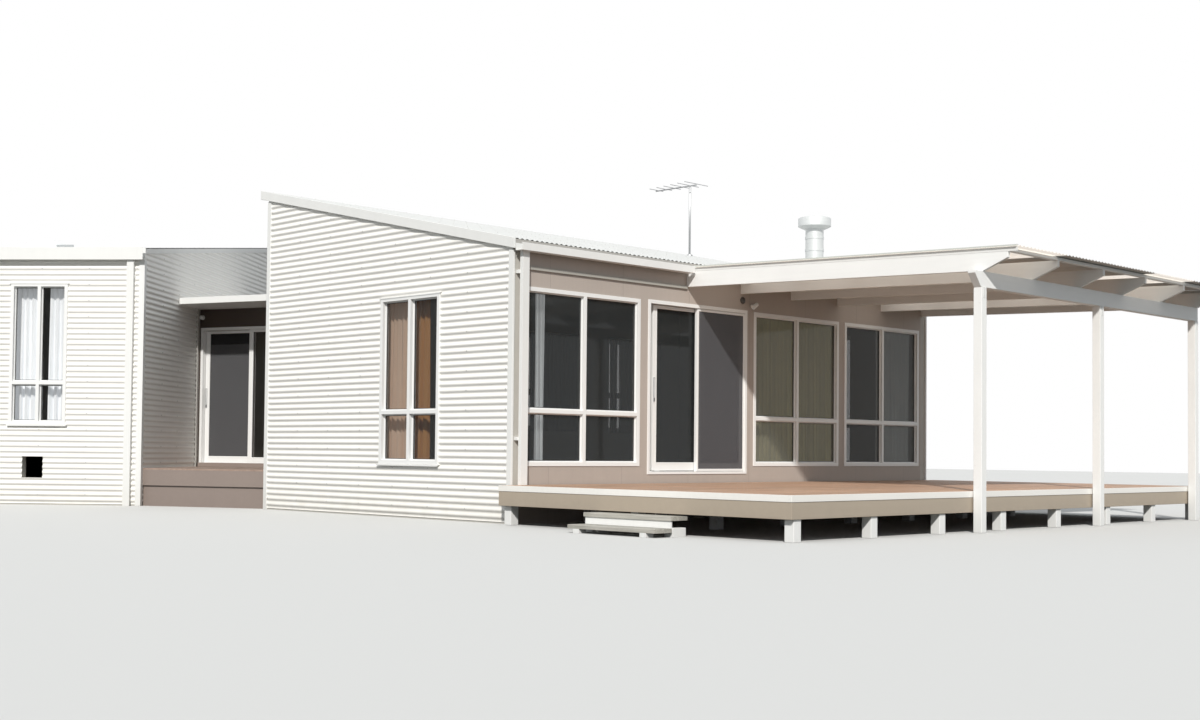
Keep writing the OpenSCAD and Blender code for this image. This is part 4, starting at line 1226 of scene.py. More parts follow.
@dataclass
class RoofSheets:
    """Ribbed steel down the fall of each roof, with milky sheets over two bays of the verandah."""

    house: House
    ribs: Ribs = Ribs(depth=0.012)
    verandah_ribs: Ribs = Ribs(depth=0.014)
    verandah_sheets: int = 10
    purlin: float = 0.9
    purlin_edge: float = 0.12
    rib_step: int = 3
    batten_rows: int = 6
    steel: float = 0.001
    lap: float = 0.001
    bed: float = 0.002
    fold: float = 0.0012
    strip: float = 0.0016
    strip_under: float = 0.005
    verge_drop: float = 0.064
    sheet_over: float = 0.03
    cap: float = 0.045
    cap_drop: float = 0.014
    screws: ScrewHeads = field(default_factory=ScrewHeads)

    def sheet(self, slope: Slope, ribs: Ribs, x0: float, x1: float, lift: float) -> Surface:
        """Part of a roof: the wave runs across the fall, and each rib runs straight down it.

        Args:
            slope: The roof's top.
            ribs: The rolled profile.
            x0: First side.
            x1: Second side.
            lift: Height of the troughs over the slope's top.

        Returns:
            Points and faces.
        """
        x = ribs.stations(x0, x1)
        out = np.linspace(slope.low, slope.high, 5)[:, None]
        points = slope.side.place(x, out, slope.top(out)) + (ribs.height(x) + lift)[:, None] * slope.normal
        return points, grid_faces(len(out), len(x))

    def add_screws(self, slope: Slope, ribs: Ribs, lift: float, rows: int) -> None:
        """Screws on every third crest along each purlin.

        Args:
            slope: The roof's top.
            ribs: The rolled profile.
            lift: Height of the troughs over the top.
            rows: Number of purlins.
        """
        first, last = math.ceil(slope.x0 / ribs.pitch) + 1, slope.x1 / ribs.pitch - 1
        crests = np.arange(first, last, self.rib_step) * ribs.pitch
        purlins = np.linspace(slope.low - self.purlin_edge, slope.high + self.purlin_edge, rows)
        x, out = (a.ravel() for a in np.meshgrid(crests, purlins))
        points = slope.side.place(x, out, slope.top(out)) + (ribs.depth + lift) * slope.normal
        self.screws.add(points, slope.normal)

    def verges(self) -> None:
        """White strips on the outer rafters over the battens' ends, and thin folded caps on the sheets' sides."""
        slope, t, under = self.house.verandah_roof, self.fold, self.verandah_ribs.depth + self.strip_under
        ends = np.array([slope.low, slope.high])
        for name, fold, drop, out, sink, finish in (
                ("verandah_verges", self.strip, self.verge_drop - under, self.sheet_over - self.bed, under,
                 Finish.WHITE_METAL),
                ("verge_caps", self.cap, self.cap_drop, 0.0, 0.0, Finish.VERGE)):
            angle = np.array([(0.0, t), (fold, t), (fold, 0.0), (t, 0.0), (t, -drop), (0.0, -drop)]) - [0, sink]
            parts = []
            for x, way in ((slope.x0 + out, 1), (slope.x1 - out, -1)):
                line = slope.side.place(x, ends, slope.top(ends))
                parts.append(bar(angle[::way], line, slope.side.along * way, Z))
            make(name, join_parts(parts), finish)

    def verandah(self) -> None:
        """Steel and milky sheets in bays of two, each second sheet lapped a little over the first."""
        slope, lift = self.house.verandah_roof, -self.verandah_ribs.depth - self.bed
        sides = np.linspace(slope.x0, slope.x1, self.verandah_sheets + 1)
        parts = [self.sheet(slope, self.verandah_ribs, x0, x1, lift + self.lap * (k % 2))
                 for k, (x0, x1) in enumerate(zip(sides, sides[1:]))]
        # The milky sheets carry painted light that glows from below.
        for name, milky, finish in (("verandah_steel_sheets", False, Finish.ROOF),
                                    ("verandah_milky_sheets", True, Finish.MILKY_SHEET)):
            group = [part for k, part in enumerate(parts) if (k // 2 % 3 == 0) == milky]
            piece = make(name, join_parts(group), finish, Skin.SHEET, nodes=["verandah_roof"])
            thicken(piece, self.steel)
        self.add_screws(slope, self.verandah_ribs, lift, self.batten_rows)

    def build(self) -> None:
        """Makes the sheets of the three sloping roofs."""
        for name, slope in (("main_roof_sheet", self.house.main_roof), ("wing_roof_sheet", self.house.wing_roof)):
            make(name, self.sheet(slope, self.ribs, slope.x0, slope.x1, LIFT), Finish.ROOF, Skin.SHEET)
            self.add_screws(slope, self.ribs, 0.0, round((slope.low - slope.high) / self.purlin) + 1)
        self.verandah()
        self.verges()
        self.screws.build("roof_screws", Finish.SCREW, "roofing")
        # The main roof's underside takes the soffit grey, partly painted shade.
        paint(Finish.SOFFIT_PAINTED_SHADE, "main_roof")
        paint(Finish.WHITE_METAL, "wing_roof", "link_roof")


# Glazing

@dataclass
class Glazed:
    """Frames, beads, rubbers, flashings and fittings of the windows and doors."""

    house: House
    sash_reach: float = 0.4
    flashing_over: float = 0.02
    screen_out: float = 0.010
    screen_edge_width: float = 0.028
    screen_sag: float = 0.002
    pull_in: float = 0.022
    pull_width: float = 0.028
    pull_low: float = 0.86
    pull_high: float = 1.16
    cup_width: float = 0.012
    cup_depth: float = 0.002
    slot: str = "window_aluminium"
    bead: Outline = ((-0.001, 0.001), (0.014, 0.001), (0.011, 0.012), (-0.001, 0.018))
    rubber: Outline = ((0.013, 0.0002), (0.020, 0.0002), (0.018, 0.003), (0.013, 0.003))
    sill: Outline = ((0.0, 0.004), (0.048, -0.006), (0.048, -0.022), (0.044, -0.022), (0.044, -0.010), (0.0, 0.0))
    head: Outline = ((0.0, 0.010), (0.034, 0.002), (0.034, -0.012), (0.030, -0.012), (0.030, -0.001), (0.0, 0.006))
    screen_edge: Outline = ((0.0, -0.008), (0.030, -0.008), (0.030, -0.001), (0.026, 0.002), (0.004, 0.002),
                            (0.0, -0.001))
    pull_edge: Outline = ((0.0, -0.004), (0.0, 0.0015), (0.002, 0.003), (0.007, 0.003), (0.009, -0.004))

    def rings(self, side: Side, panes: list[Span], outline: Outline, inner: bool = False) -> Surface:
        """Mitred rings round panes: each outline point is set in from the edge and out of the glass.

        Args:
            side: The wall's frame.
            panes: The panes' boxes.
            outline: Distance in from the edge and out of the glass of each point.
            inner: Puts the rings on the room side.

        Returns:
            Points and faces.
        """
        inset, proud = np.asarray(outline, float).T
        edges = np.array([[s.x0, s.x1, s.z0, s.z1, s.out0 if inner else s.out1] for s in panes])[..., None]
        x = edges[:, [0, 1, 1, 0]] + np.array([1, -1, -1, 1])[:, None] * inset
        z = edges[:, [2, 2, 3, 3]] + np.array([1, 1, -1, -1])[:, None] * inset
        points = side.place(x, edges[:, 4:] + (-proud if inner else proud), z)
        one = grid_faces(4, len(inset), close_rows=True, close_columns=True)
        return points, copies(one, 4 * len(inset), len(panes))

    def glaze(self, name: str, node: str, sides: Iterable[Side], body: str = HOUSE) -> None:
        """Beads and rubbers of the panes of a node in some walls, on both faces of the glass.

        Args:
            name: First word of the pieces' names.
            node: The CAD node of the panes.
            sides: The walls' frames.
            body: The body that they ride on.
        """
        panes = [(side, side.spans(node)) for side in sides]
        for word, outline, finish in (("beads", self.bead, Finish.WINDOW),
                                      ("rubbers", self.rubber, Finish.RUBBER)):
            parts = [self.rings(side, group, outline, inner) for side, group in panes if group
                     for inner in (False, True)]
            make(f"{name}_{word}", join_parts(parts), finish, body=body)

    def flashings(self) -> None:
        """Sloping sill and head flashings of the windows in the ribbed walls."""
        h = self.house
        parts = []
        for sides, node in (((h.gable, h.end, h.back), MAIN_FRAMES),
                            ((h.wing_front, h.wing_back, h.wing_far), WING_FRAMES)):
            for side, w in ((s, w) for s in sides for w in s.spans(node)):
                for outline, z in ((self.sill, w.z0), (self.head, w.z1)):
                    line = side.place([w.x0 - self.flashing_over, w.x1 + self.flashing_over], 0.0, z)
                    parts.append(bar(outline, line, side.outward, Z))
        make("window_flashings", join_parts(parts), Finish.WHITE_METAL)

    def screen(self) -> None:
        """Insect screen outside the fixed panel of the deck door: a light frame and its mesh, sagging a little."""
        deck = self.house.deck
        panel = deck.spans("fixed_door_panels")[0]
        out, rim = panel.out1 + self.screen_out, self.screen_edge_width
        edge = Span(panel.x0, panel.x1 + 0.004, out, out, panel.z0 + 0.004, panel.z1 - 0.004)
        make("screen_frame", self.rings(deck, [edge], self.screen_edge), Finish.WINDOW)
        x, z = np.meshgrid(np.linspace(edge.x0 + rim, edge.x1 - rim, 12),
                           np.linspace(edge.z0 + rim, edge.z1 - rim, 24))
        sag = self.screen_sag * np.sin(x * 9.0) * np.sin(z * 5.0)
        make("insect_screen", (deck.place(x, out - 0.003 + sag, z), grid_faces(*x.shape)), Finish.SCREEN,
             Skin.SHEET)

    def pulls(self, side: Side, body: str) -> None:
        """Flush pull on the leading stile of a sash: a rim, and a cup hollowed as a cosine.

        Args:
            side: The wall's frame.
            body: The door's body.
        """
        s = side.spans(f"{body}_sash", self.sash_reach)[0]
        stile, out = s.x0 + self.pull_in, min(s.out1, 0.0)
        low, high = s.z0 + self.pull_low, s.z0 + self.pull_high
        half, hollow = self.pull_width / 2, self.cup_width / 2
        plate = [Span(stile - half, stile + half, out, out, low, high)]
        make(f"{body}_pull_rim", self.rings(side, plate, self.pull_edge), Finish.GALVANISED, body=body)
        x, z = np.meshgrid(np.linspace(stile - hollow, stile + hollow, 5),
                           np.linspace(low + 0.008, high - 0.008, 9))
        cup = side.place(x, out + LIFT - self.cup_depth * np.cos((x - stile) * 200), z)
        make(f"{body}_pull_cup", (cup, grid_faces(*x.shape)), Finish.DARK_STEEL, Skin.SHEET, body)

    def build(self) -> None:
        """Frames, glass and fittings of every opening."""
        h = self.house
        for node, name, body in (
                (MAIN_FRAMES, "main_frames", HOUSE), (WING_FRAMES, "wing_frames", HOUSE),
                ("deck_door_frame", "deck_door_casing", HOUSE), ("entry_door_frame", "entry_door_casing", HOUSE),
                ("fixed_door_panels", "fixed_door_sashes", HOUSE),
                ("deck_door_sash", "deck_door_sliding_sash", DECK_DOOR),
                ("entry_door_sash", "entry_door_sliding_sash", ENTRY_DOOR)):
            soften(name, node, Finish.WINDOW, 0.0025, body)
        paint(Finish.GLASS, "window_glass")
        paint(Finish.DOOR_GLASS, "deck_door_glass")
        paint(Finish.ENTRY_GLASS, "entry_door_glass")
        self.glaze("main_window", "window_glass", (h.deck, h.gable, h.end, h.back, h.link))
        self.glaze("wing_window", "window_glass", (h.wing_front, h.wing_back, h.wing_far))
        doors = ((h.deck, DECK_DOOR), (h.link, ENTRY_DOOR))
        for side, body in doors:
            self.glaze(body, f"{body}_glass", [side], body)
        self.flashings()
        self.screen()
        for side, body in doors:
            self.pulls(side, body)


@dataclass
class Curtains:
    """Curtains gathered on rails inside the windows."""

    house: House
    behind: float = 0.19
    lining: float = 0.119
    fold: float = 0.085
    depth: float = 0.032
    fold_steps: int = 12
    drop_steps: int = 24
    top_gap: float = 0.01
    rail_lift: float = 0.012
    rail_radius: float = 0.011
    bracket_out: float = 0.04
    bracket_radius: float = 0.008
    rails: list[Surface] = field(default_factory=list)

    def hang(self, name: str, side: Side, window: Span, first: Edge, last: Edge, finish: Finish) -> None:
        """One curtain: folds are a wave across it that grows from the rail down.

        Args:
            name: The piece's name.
            side: The wall's frame.
            window: The window's box.
            first: First edge: a share of the window's width from its first side, and metres more.
            last: Second edge.
            finish: The cloth.
        """
        x0, x1 = (share * (window.x1 - window.x0) + more for share, more in (first, last))
        count = max(3, round((x1 - x0) / self.fold))
        u, v = np.meshgrid(np.linspace(0, 1, count * self.fold_steps + 1), np.linspace(0, 1, self.drop_steps + 1))
        phase = TURN * count * u
        wave = np.sin(phase + 0.5 * np.sin(2.1 * v + 3.0 * u)) + 0.28 * np.sin(2.3 * phase + 1.1)
        out = -self.behind + self.depth * (0.45 + 0.55 * v) * wave
        x = window.x0 + x0 + (x1 - x0) * u + 0.006 * v * np.sin(1.7 * phase)
        points = side.place(x, out, window.z1 - self.top_gap - (window.z1 - window.z0) * v)
        piece = make(name, (points, grid_faces(*u.shape)), finish, Skin.SHEET)
        du, dv = points[:, 1:] - points[:, :-1], points[1:] - points[:-1]

    def rail(self, side: Side, window: Span, before: float = 0.06, after: float = 0.06) -> None:
        """A round rail over a window that passes its sides, with brackets on the wall.

        Args:
            side: The wall's frame.
            window: The window's box.
            before: Length past its first side.
            after: Length past its second side.
        """
        z = window.z1 + self.rail_lift
        ends = side.place([window.x0 - before, window.x1 + after], -self.behind, z)
        self.rails.append(rod(*ends, self.rail_radius))
        for x in (window.x0 - self.bracket_out, window.x1 + self.bracket_out):
            self.rails.append(rod(*side.place(x, [-self.lining, -self.behind], z), self.bracket_radius, 8))

    def build(self) -> None:
        """Hangs the curtains that show through the glass."""
        h = self.house
        deck, (gable,), wing, back = (
            side.spans(frames) for side, frames in ((h.deck, MAIN_FRAMES), (h.gable, MAIN_FRAMES),
                                                    (h.wing_front, WING_FRAMES), (h.back, MAIN_FRAMES)))
        self.rail(h.deck, deck[0])
        self.rail(h.deck, deck[1], after=0.25)
        self.rail(h.deck, deck[2], after=0.04)
        self.rail(h.gable, gable, before=0.2)
        for side, window in [(h.wing_front, w) for w in wing] + [(h.back, w) for w in back]:
            self.rail(side, window)
        make("curtain_rails", join_parts(self.rails), Finish.WINDOW, Skin.ROUND)
        rows = [("deck_window_curtain_1", h.deck, deck[0], (0.17, 0.0), (0.25, 0.0), Finish.SHEER_CLOTH),
                ("deck_window_curtain_2", h.deck, deck[1], (0.0, -0.05), (1.0, 0.22), Finish.GREEN_CLOTH),
                ("deck_window_curtain_3", h.deck, deck[2], (0.55, 0.0), (1.0, 0.03), Finish.GREY_CLOTH),
                ("gable_curtain_brown", h.gable, gable, (0.37, 0.0), (0.62, 0.0), Finish.BROWN_CLOTH),
                ("gable_curtain_pale", h.gable, gable, (-0.14, 0.0), (0.30, 0.0), Finish.BEIGE_CLOTH)]
        for word, side, windows, finish, pairs in (
                ("back", h.back, back, Finish.LINED_CLOTH,
                 (((0.0, -0.05), (1.0, -0.16)), ((1.0, -0.13), (1.0, 0.05)))),
                ("wing", h.wing_front, wing, Finish.WHITE_CLOTH,
                 (((0.0, -0.02), (0.5, -0.03)), ((0.5, 0.07), (1.0, 0.02))))):
            rows += [(f"{word}_curtain_{2 * i + k + 1}", side, w, *pair, finish)
                     for i, w in enumerate(windows) for k, pair in enumerate(pairs)]
        for row in rows:
            self.hang(*row)


# Timber

def board_outline(width: float, depth: float, ease: float = 0.004) -> np.ndarray:
    """Closed outline across a board with eased top edges, its top at zero.

    Args:
        width: Width of the board.
        depth: Its thickness.
        ease: Radius of the eased edges.

    Returns:
        Outline points of shape (n, 2).
    """
    half, turn = width / 2, np.radians([0, 30, 60, 90])
    right = np.stack([half - ease + ease * np.cos(turn), ease * np.sin(turn) - ease], -1)
    return np.concatenate([[(half, -depth)], right, right[::-1] * [-1, 1], [(-half, -depth)]])


def mark_boards(piece: bpy.types.Object, values: np.ndarray) -> None:
    """Gives each board of a piece one value, in the attribute board."""
    every = np.repeat(values, len(piece.data.vertices) // len(values))
    piece.data.attributes.new("board", "FLOAT", "POINT").data.foreach_set("value", every.astype(np.float32))


@dataclass
class Boards:
    """Laid boards: rows across a rectangle, each cut into lengths whose joints are staggered."""

    pitch: float = 0.095
    gap: float = 0.005
    longest: float = 3.3
    shortest: float = 0.4
    stagger: float = 0.38
    end_gap: float = 0.001
    seed: int = 11

    def lay(self, name: str, corner: np.ndarray, along: np.ndarray, across: np.ndarray,
            size: tuple[float, float, float], finish: Finish, slot: str, node: str,
            joints: bool = True) -> bpy.types.Object:
        """Lays boards from a corner.

        Args:
            name: The piece's name.
            corner: Corner at the boards' top.
            along: Direction of the boards.
            across: Direction of the rows.
            size: Length and width covered, and thickness of a board.
            finish: The boards' finish.
            slot: The record's material slot; not used.
            node: The CAD node that they replace.
            joints: Cuts long rows into lengths.

        Returns:
            The piece, with one random value for each board.
        """
        length, width, depth = size
        rng = np.random.default_rng(self.seed)
        rows = max(1, round(width / self.pitch))
        pitch = width / rows
        starts, ends = [], []
        for row in range(rows):
            first = self.longest * (0.35 + 0.65 * ((row * self.stagger) % 1.0))
            cuts = [0.0, *(np.arange(first, length - self.shortest, self.longest) if joints else ()), length]
            middle = corner + across * pitch * (row + 0.5)
            starts += [middle + along * (a + self.end_gap) for a in cuts[:-1]]
            ends += [middle + along * (b - self.end_gap) for b in cuts[1:]]
        boards = bars(board_outline(pitch - self.gap, depth), starts, ends, across, Z)
        piece = make(name, boards, finish, nodes=[node])
        mark_boards(piece, rng.random(len(starts)))
        return piece


@dataclass
class Deck:
    """Boards, edge, stumps and steps of the raised deck."""

    boards: Boards = field(default_factory=Boards)
    tread_boards: int = 2
    tread_gap: float = 0.006
    tread_ease: float = 0.005
    tread_seed: int = 4
    screw_edge: float = 0.022
    screw_sink: float = 0.0009

    def screws(self, low: Vector, high: Vector) -> None:
        """Two screws in each board over each joist.

        Args:
            low: Lowest corner of the boards.
            high: Their highest corner.
        """
        joists = [p for p in islands("deck_frame") if np.ptp(p[:, 1]) > np.ptp(p[:, 0])]
        rows = max(1, round((high.y - low.y) / self.boards.pitch))
        pitch = (high.y - low.y) / rows
        centre = low.y + pitch * (np.arange(rows) + 0.5)
        edge = pitch / 2 - self.screw_edge
        grid = np.meshgrid(sorted(p[:, 0].mean() for p in joists), [*centre - edge, *centre + edge])
        x, y = (a.ravel() for a in grid)
        heads = ScrewHeads(washer=0.0045, head=0.003, height=0.0012)
        heads.add(np.stack([x, y, np.full_like(x, high.z - self.screw_sink)], -1), Z)
        heads.build("deck_screws", Finish.GALVANISED, "deck_timber")

    def steps(self) -> None:
        """Each tread as boards side by side, with small gaps."""
        parts, values = [], []
        rng = np.random.default_rng(self.tread_seed)
        for low, high in boxes("step_treads"):
            pitch = (high[0] - low[0]) / self.tread_boards
            x = low[0] + pitch * (np.arange(self.tread_boards) + 0.5)
            starts, ends = (np.stack([x, np.full_like(x, y), np.full_like(x, high[2])], -1)
                            for y in (low[1], high[1]))
            outline = board_outline(pitch - self.tread_gap, high[2] - low[2], self.tread_ease)
            parts.append(bars(outline, starts, ends, X, Z))
            values.append(rng.random(self.tread_boards))
        piece = make("tread_boards", join_parts(parts), Finish.TREAD, nodes=["step_treads"])
        mark_boards(piece, np.concatenate(values))

    def build(self) -> None:
        """Makes the deck."""
        low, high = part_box("deck_boards")
        self.boards.lay("deck_planks", np.array([low.x, low.y, high.z]), X, Y, tuple(high - low),
                        Finish.DECK, "deck_timber", "deck_boards")
        self.screws(low, high)
        self.steps()
        paint(Finish.FRAMING, "deck_frame", "main_floor", "link_floor", "wing_floor")
        paint(Finish.WHITE_TIMBER, "floor_stumps")
        for name, node, finish, slot, width in (
                ("deck_strip", "deck_edge_strip", Finish.PALE_TRIM, "pale_trim", 0.004),
                ("deck_edge_boards", "deck_fascia", Finish.TAUPE, "taupe_board", 0.003),
                ("deck_posts", "deck_stumps", Finish.WHITE_TIMBER, "white_timber", 0.005),
                ("step_supports", "step_blocks", Finish.WHITE_TIMBER, "white_timber", 0.004)):
            soften(name, node, finish, width)


@dataclass
class Verandah:
    """Posts, beam, rafters and battens, and the straps that tie them."""

    strap: float = 0.04
    steel: float = 0.003
    strap_drop: float = 0.11
    strap_rise: float = 0.004

    def straps(self) -> None:
        """Folded steel straps on both faces of the beam, down each post."""
        half = self.strap / 2
        outline = ((-half, 0.0), (half, 0.0), (half, self.steel), (-half, self.steel))
        beam_low, beam_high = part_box("verandah_beam")
        parts = []
        for low, high in boxes("verandah_posts"):
            for face, way in ((min(low[1], beam_low.y), -Y), (max(high[1], beam_high.y), Y)):
                foot = np.array([[(low[0] + high[0]) / 2, face, beam_low.z - self.strap_drop]])
                parts.append(bars(outline, foot, foot + (self.strap_drop + self.strap_rise) * Z, X, way))
        make("post_straps", join_parts(parts), Finish.WHITE_METAL)

    def build(self) -> None:
        """Makes the verandah's timber."""
        for name, finish, width in (
                ("posts", Finish.WHITE_TIMBER, 0.005), ("beam", Finish.WHITE_BEAM, 0.004),
                ("rafters", Finish.WHITE_RAFTER, 0.004), ("battens", Finish.WHITE_BEAM, 0.003)):
            soften(name, f"verandah_{name}", finish, width)
        self.straps()


@dataclass
class Link:
    """Entry walls, canopy and landing between the two blocks."""

    house: House
    boards: Boards = field(default_factory=lambda: Boards(pitch=0.1, seed=5))
    spare: float = 1.2
    reach: float = 4.6
    width: float = 2.6
    outside: Colour = (0.060, 0.042, 0.033)
    board: float = 0.13

    def landing(self) -> None:
        """Landing boards cut to its outline, the base under them, and the threshold board."""
        points, board = sorted(islands("entry_landing"), key=lambda p: p[:, 2].max())[-2:]
        top = points[:, 2].max()
        corners = np.unique(np.round(points[points[:, 2] > top - 0.001][:, :2], 4), axis=0)
        angle = np.arctan2(*(corners - corners.mean(0)).T[::-1])
        corners = corners[np.argsort(angle)]
        near, far = corners[corners[:, 0].argmin()], corners[corners[:, 1].argmin()]
        along = np.array([*(far - near), 0.0])
        along /= np.linalg.norm(along)
        thick = top - np.unique(np.round(points[:, 2], 4))[-2]
        piece = self.boards.lay("landing_planks", np.array([*near, top]) - along * self.spare, along,
                                np.cross(Z, along), (self.reach, self.width, thick), Finish.LANDING,
                                "grey_timber", "entry_landing", joints=False)
        for a, b in zip(corners, np.roll(corners, -1, axis=0)):
            cut(piece, (*a, top), (b[1] - a[1], a[0] - b[0], 0.0), fill=True)
        base = merged_copy("landing_base", "entry_landing")
        cut(base, (0, 0, top - thick - LIFT), Z, fill=True)
        dress(base, Finish.TAUPE_ENTRY, nodes=["entry_landing"])
        link = self.house.link
        x, out, z = link.local(board)
        ends = link.place([x.min(), x.max()], out.max(), (z.min() + z.max()) / 2)
        edge = bar(board_outline(np.ptp(z), np.ptp(out), 0.003), ends, Z, link.outward)
        make("threshold_board", edge, Finish.TAUPE_ENTRY, nodes=["entry_landing"])

    def build(self) -> None:
        """Makes the link."""
        link = self.house.link
        inward = tuple(-link.outward[:2])
        stain = WallSides("stained entry boards", self.outside, (link.x, link.y), inward, self.board)
        paint(stain, "link_walls", "link_wall_over")
        soften("canopy", "entry_canopy", Finish.WHITE_METAL, 0.004)
        self.landing()


@dataclass
class Trims:
    """Edges of the roofs and corners of the walls, gutters and downpipes."""

    house: House
    threshold: float = 0.065
    corner_fold: Outline = ((0.0, 0.0), (0.0, 0.024), (-0.006, 0.030), (-0.094, 0.030), (-0.100, 0.024),
                            (-0.100, 0.0))
    deck_wall: Colour = (0.43, 0.375, 0.335)

    def entry_corner(self) -> None:
        """Folded trim up the inner corner between the wing and the entry wall."""
        side = self.house.wing_entry
        foot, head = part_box("entry_landing")[1].z - self.threshold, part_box("entry_canopy")[0].z
        line = side.place(side.touching("link_walls")[0].x0 - 0.001, 0.0, [foot, head])
        fold = bar(self.corner_fold, line, side.along, side.outward)
        make("entry_corner_trim", fold, Finish.GREY_TRIM)

    def build(self) -> None:
        """Makes the trims and paints the plain walls."""
        self.entry_corner()
        for name, node, width in (
                ("barge_boards", "barge_caps", 0.003), ("corner_flashings", "corner_trims", 0.003),
                ("eave_gutters", "gutters", 0.0012), ("rain_pipes", "downpipes", 0.0018)):
            soften(name, node, Finish.WHITE_METAL, width)
        # The batten under the eave is darkened partly as painted shade of the gutter.
        soften("deck_wall_batten", "deck_wall_trim", Finish.EAVE_BATTEN_PAINTED_SHADE, 0.003)
        deck = self.house.deck
        taupe = WallSides("taupe wall boards", self.deck_wall, (deck.x, deck.y), (0.0, 1.0))
        paint(taupe, "deck_wall_left", "deck_wall_right", "deck_door_surround")
        paint(Finish.PLASTER, "gable_wall", "end_wall", "back_wall", "wing_front_wall", "wing_entry_wall",
              "wing_back_wall", "wing_far_wall")


@dataclass
class Fittings:
    """Flue, aerial, roof light and lamps."""

    house: House
    flue_band: float = 0.012
    cowl_height: float = 0.2
    tube_share: float = 0.98
    boot_top: float = 0.11
    spot_tilt: float = -120.0
    spot_radius: float = 0.0315
    boot: Outline = ((0.075, 0.003), (0.07, 0.016), (0.04, 0.035), (0.012, 0.07), (0.008, 0.11), (0.001, 0.112))
    spot: Outline = ((0.0, -0.050), (0.020, -0.050), (0.026, -0.044), (0.028, -0.010), (0.031, 0.020),
                     (0.0315, 0.049), (0.028, 0.050), (0.026, 0.044), (0.020, 0.030), (0.0, 0.028))
    lamp: Outline = ((1, 0), (1, 0.5), (0.94, 0.7), (0.8, 0.7), (0.72, 0.95), (0.3, 1), (0, 1))
    drum: Outline = ((1, 0), (1, 0.25), (0.9, 0.3), (0.9, 0.86), (0.8, 0.95), (0.5, 1), (0, 1))

    def flue(self) -> None:
        """Flue pipe with bands and a drum cowl, turned about its axis, and a boot skewed to the roof."""
        points = node_points("flue")
        foot, top = points[:, 2].min(), points[:, 2].max()
        low, high = extent(points[points[:, 2] > top - self.cowl_height])
        cowl, centre = float(high[0] - low[0]) / 2, (low[:2] + high[:2]) / 2
        radii = np.hypot(*(points[:, :2] - centre).T)
        pipe = float(radii[radii > 0.05].min())
        ring = pipe + self.flue_band / 2
        outline = [(pipe, foot)]
        for z in np.linspace(foot + 0.30, top - 0.32, 3):
            outline += [(pipe, z - 0.02), (ring, z - 0.018), (ring, z + 0.018), (pipe, z + 0.02)]
        outline += [(pipe, top - self.cowl_height), (pipe + 0.012, top - 0.195), (cowl - 0.012, top - 0.155),
                    (cowl, top - 0.148), (cowl, top - 0.032), (cowl - 0.004, top - 0.026),
                    (cowl - 0.010, top - 0.024), (cowl - 0.016, top - 0.018), (cowl * 0.55, top - 0.006),
                    (0.0, top)]
        ground = np.array([*centre, 0.0])
        turned = revolve(outline, ground, Z, X, Y, 64)
        sharpen(make("flue_pipe", turned, Finish.FLUE, Skin.ROUND, nodes=["flue"]), 35)
        slope = self.house.main_roof
        level = float(slope.top(slope.side.local(ground)[1]))
        boot = np.array(self.boot) + [pipe, 0.0]
        points, faces = revolve(boot, ground + level * Z, Z, X, Y, 48)
        skew = np.tile(1 - np.clip(boot[:, 1] / self.boot_top, 0, 1), 48)
        points[:, 2] += (points[:, 1] - centre[1]) * slope.rise * skew
        make("flue_boot", (points, faces), Finish.RUBBER, Skin.ROUND)

    def aerial(self) -> None:
        """Aerial of round tubes where the CAD bars are, on a round foot."""
        (low_foot, high_foot), *tubes = sorted(boxes("tv_aerial"), key=lambda box: (box[1] - box[0]).max())
        parts = []
        for low, high in tubes:
            start, end = np.array([(low + high) / 2] * 2)
            axis = int((high - low).argmax())
            start[axis], end[axis] = low[axis], high[axis]
            parts.append(rod(start, end, float((high - low).min() / 2) * self.tube_share, 14))
        make("aerial", join_parts(parts), Finish.GALVANISED, Skin.ROUND, nodes=["tv_aerial"])
        low, high = low_foot[2], high_foot[2]
        outline = [(0.052, low + 0.012), (0.055, low + 0.02), (0.052, high - 0.012), (0.030, high - 0.004),
                   (0.026, high), (0.0, high)]
        plate = revolve(outline, np.array([*(low_foot + high_foot)[:2] / 2, 0.0]), Z, X, Y, 20)
        make("aerial_foot", plate, Finish.GALVANISED, nodes=["tv_aerial"])

    def round_lamp(self, name: str, side: Side, box: Span, outline: Outline, finish: Finish) -> None:
        """A lamp turned about a wall's normal: shares of its radius and depth.

        Args:
            name: The piece's name.
            side: The wall's frame.
            box: The lamp's box.
            outline: Share of the radius and share of the depth of each point.
            finish: Its finish.
        """
        x, z = box.centre
        profile = np.array(outline) * [(box.x1 - box.x0) / 2, box.out1 - box.out0]
        lamp = revolve(profile, side.place(x, box.out0, z), side.outward, side.along, Z, 32)
        make(name, lamp, finish, Skin.ROUND, nodes=["wall_lights"])

    def lamps(self) -> None:
        """A dark round light and a tilted white spot on the deck wall, and a drum light by the entry door."""
        deck, link = self.house.deck, self.house.link
        lamp, spot = deck.spans("wall_lights")
        self.round_lamp("deck_lamp", deck, lamp, self.lamp, Finish.DARK_STEEL)
        tilt, (x, z), out = math.radians(self.spot_tilt), spot.centre, spot.out1 - self.spot_radius
        axis = math.sin(tilt) * deck.along + math.cos(tilt) * Z
        across = math.cos(tilt) * deck.along - math.sin(tilt) * Z
        body = revolve(self.spot, deck.place(x, out, z), axis, across, deck.outward, 28)
        stem = ((0.0225, 0.0), (0.0225, 0.008), (0.018, 0.012), (0.009, 0.014), (0.008, out))
        foot = revolve(stem, deck.place(x, 0.0, z), deck.outward, deck.along, Z, 24)
        piece = make("deck_spot", join_parts([body, foot]), Finish.WINDOW, Skin.ROUND,
                     nodes=["wall_lights"])
        sharpen(piece, 40)
        self.round_lamp("entry_lamp", link, link.spans("wall_lights")[0], self.drum, Finish.OPAL)

    def build(self) -> None:
        """Makes the fittings."""
        self.flue()
        self.aerial()
        soften("roof_light", "wing_skylight", Finish.OPAL, 0.006)
        self.lamps()


# Studio

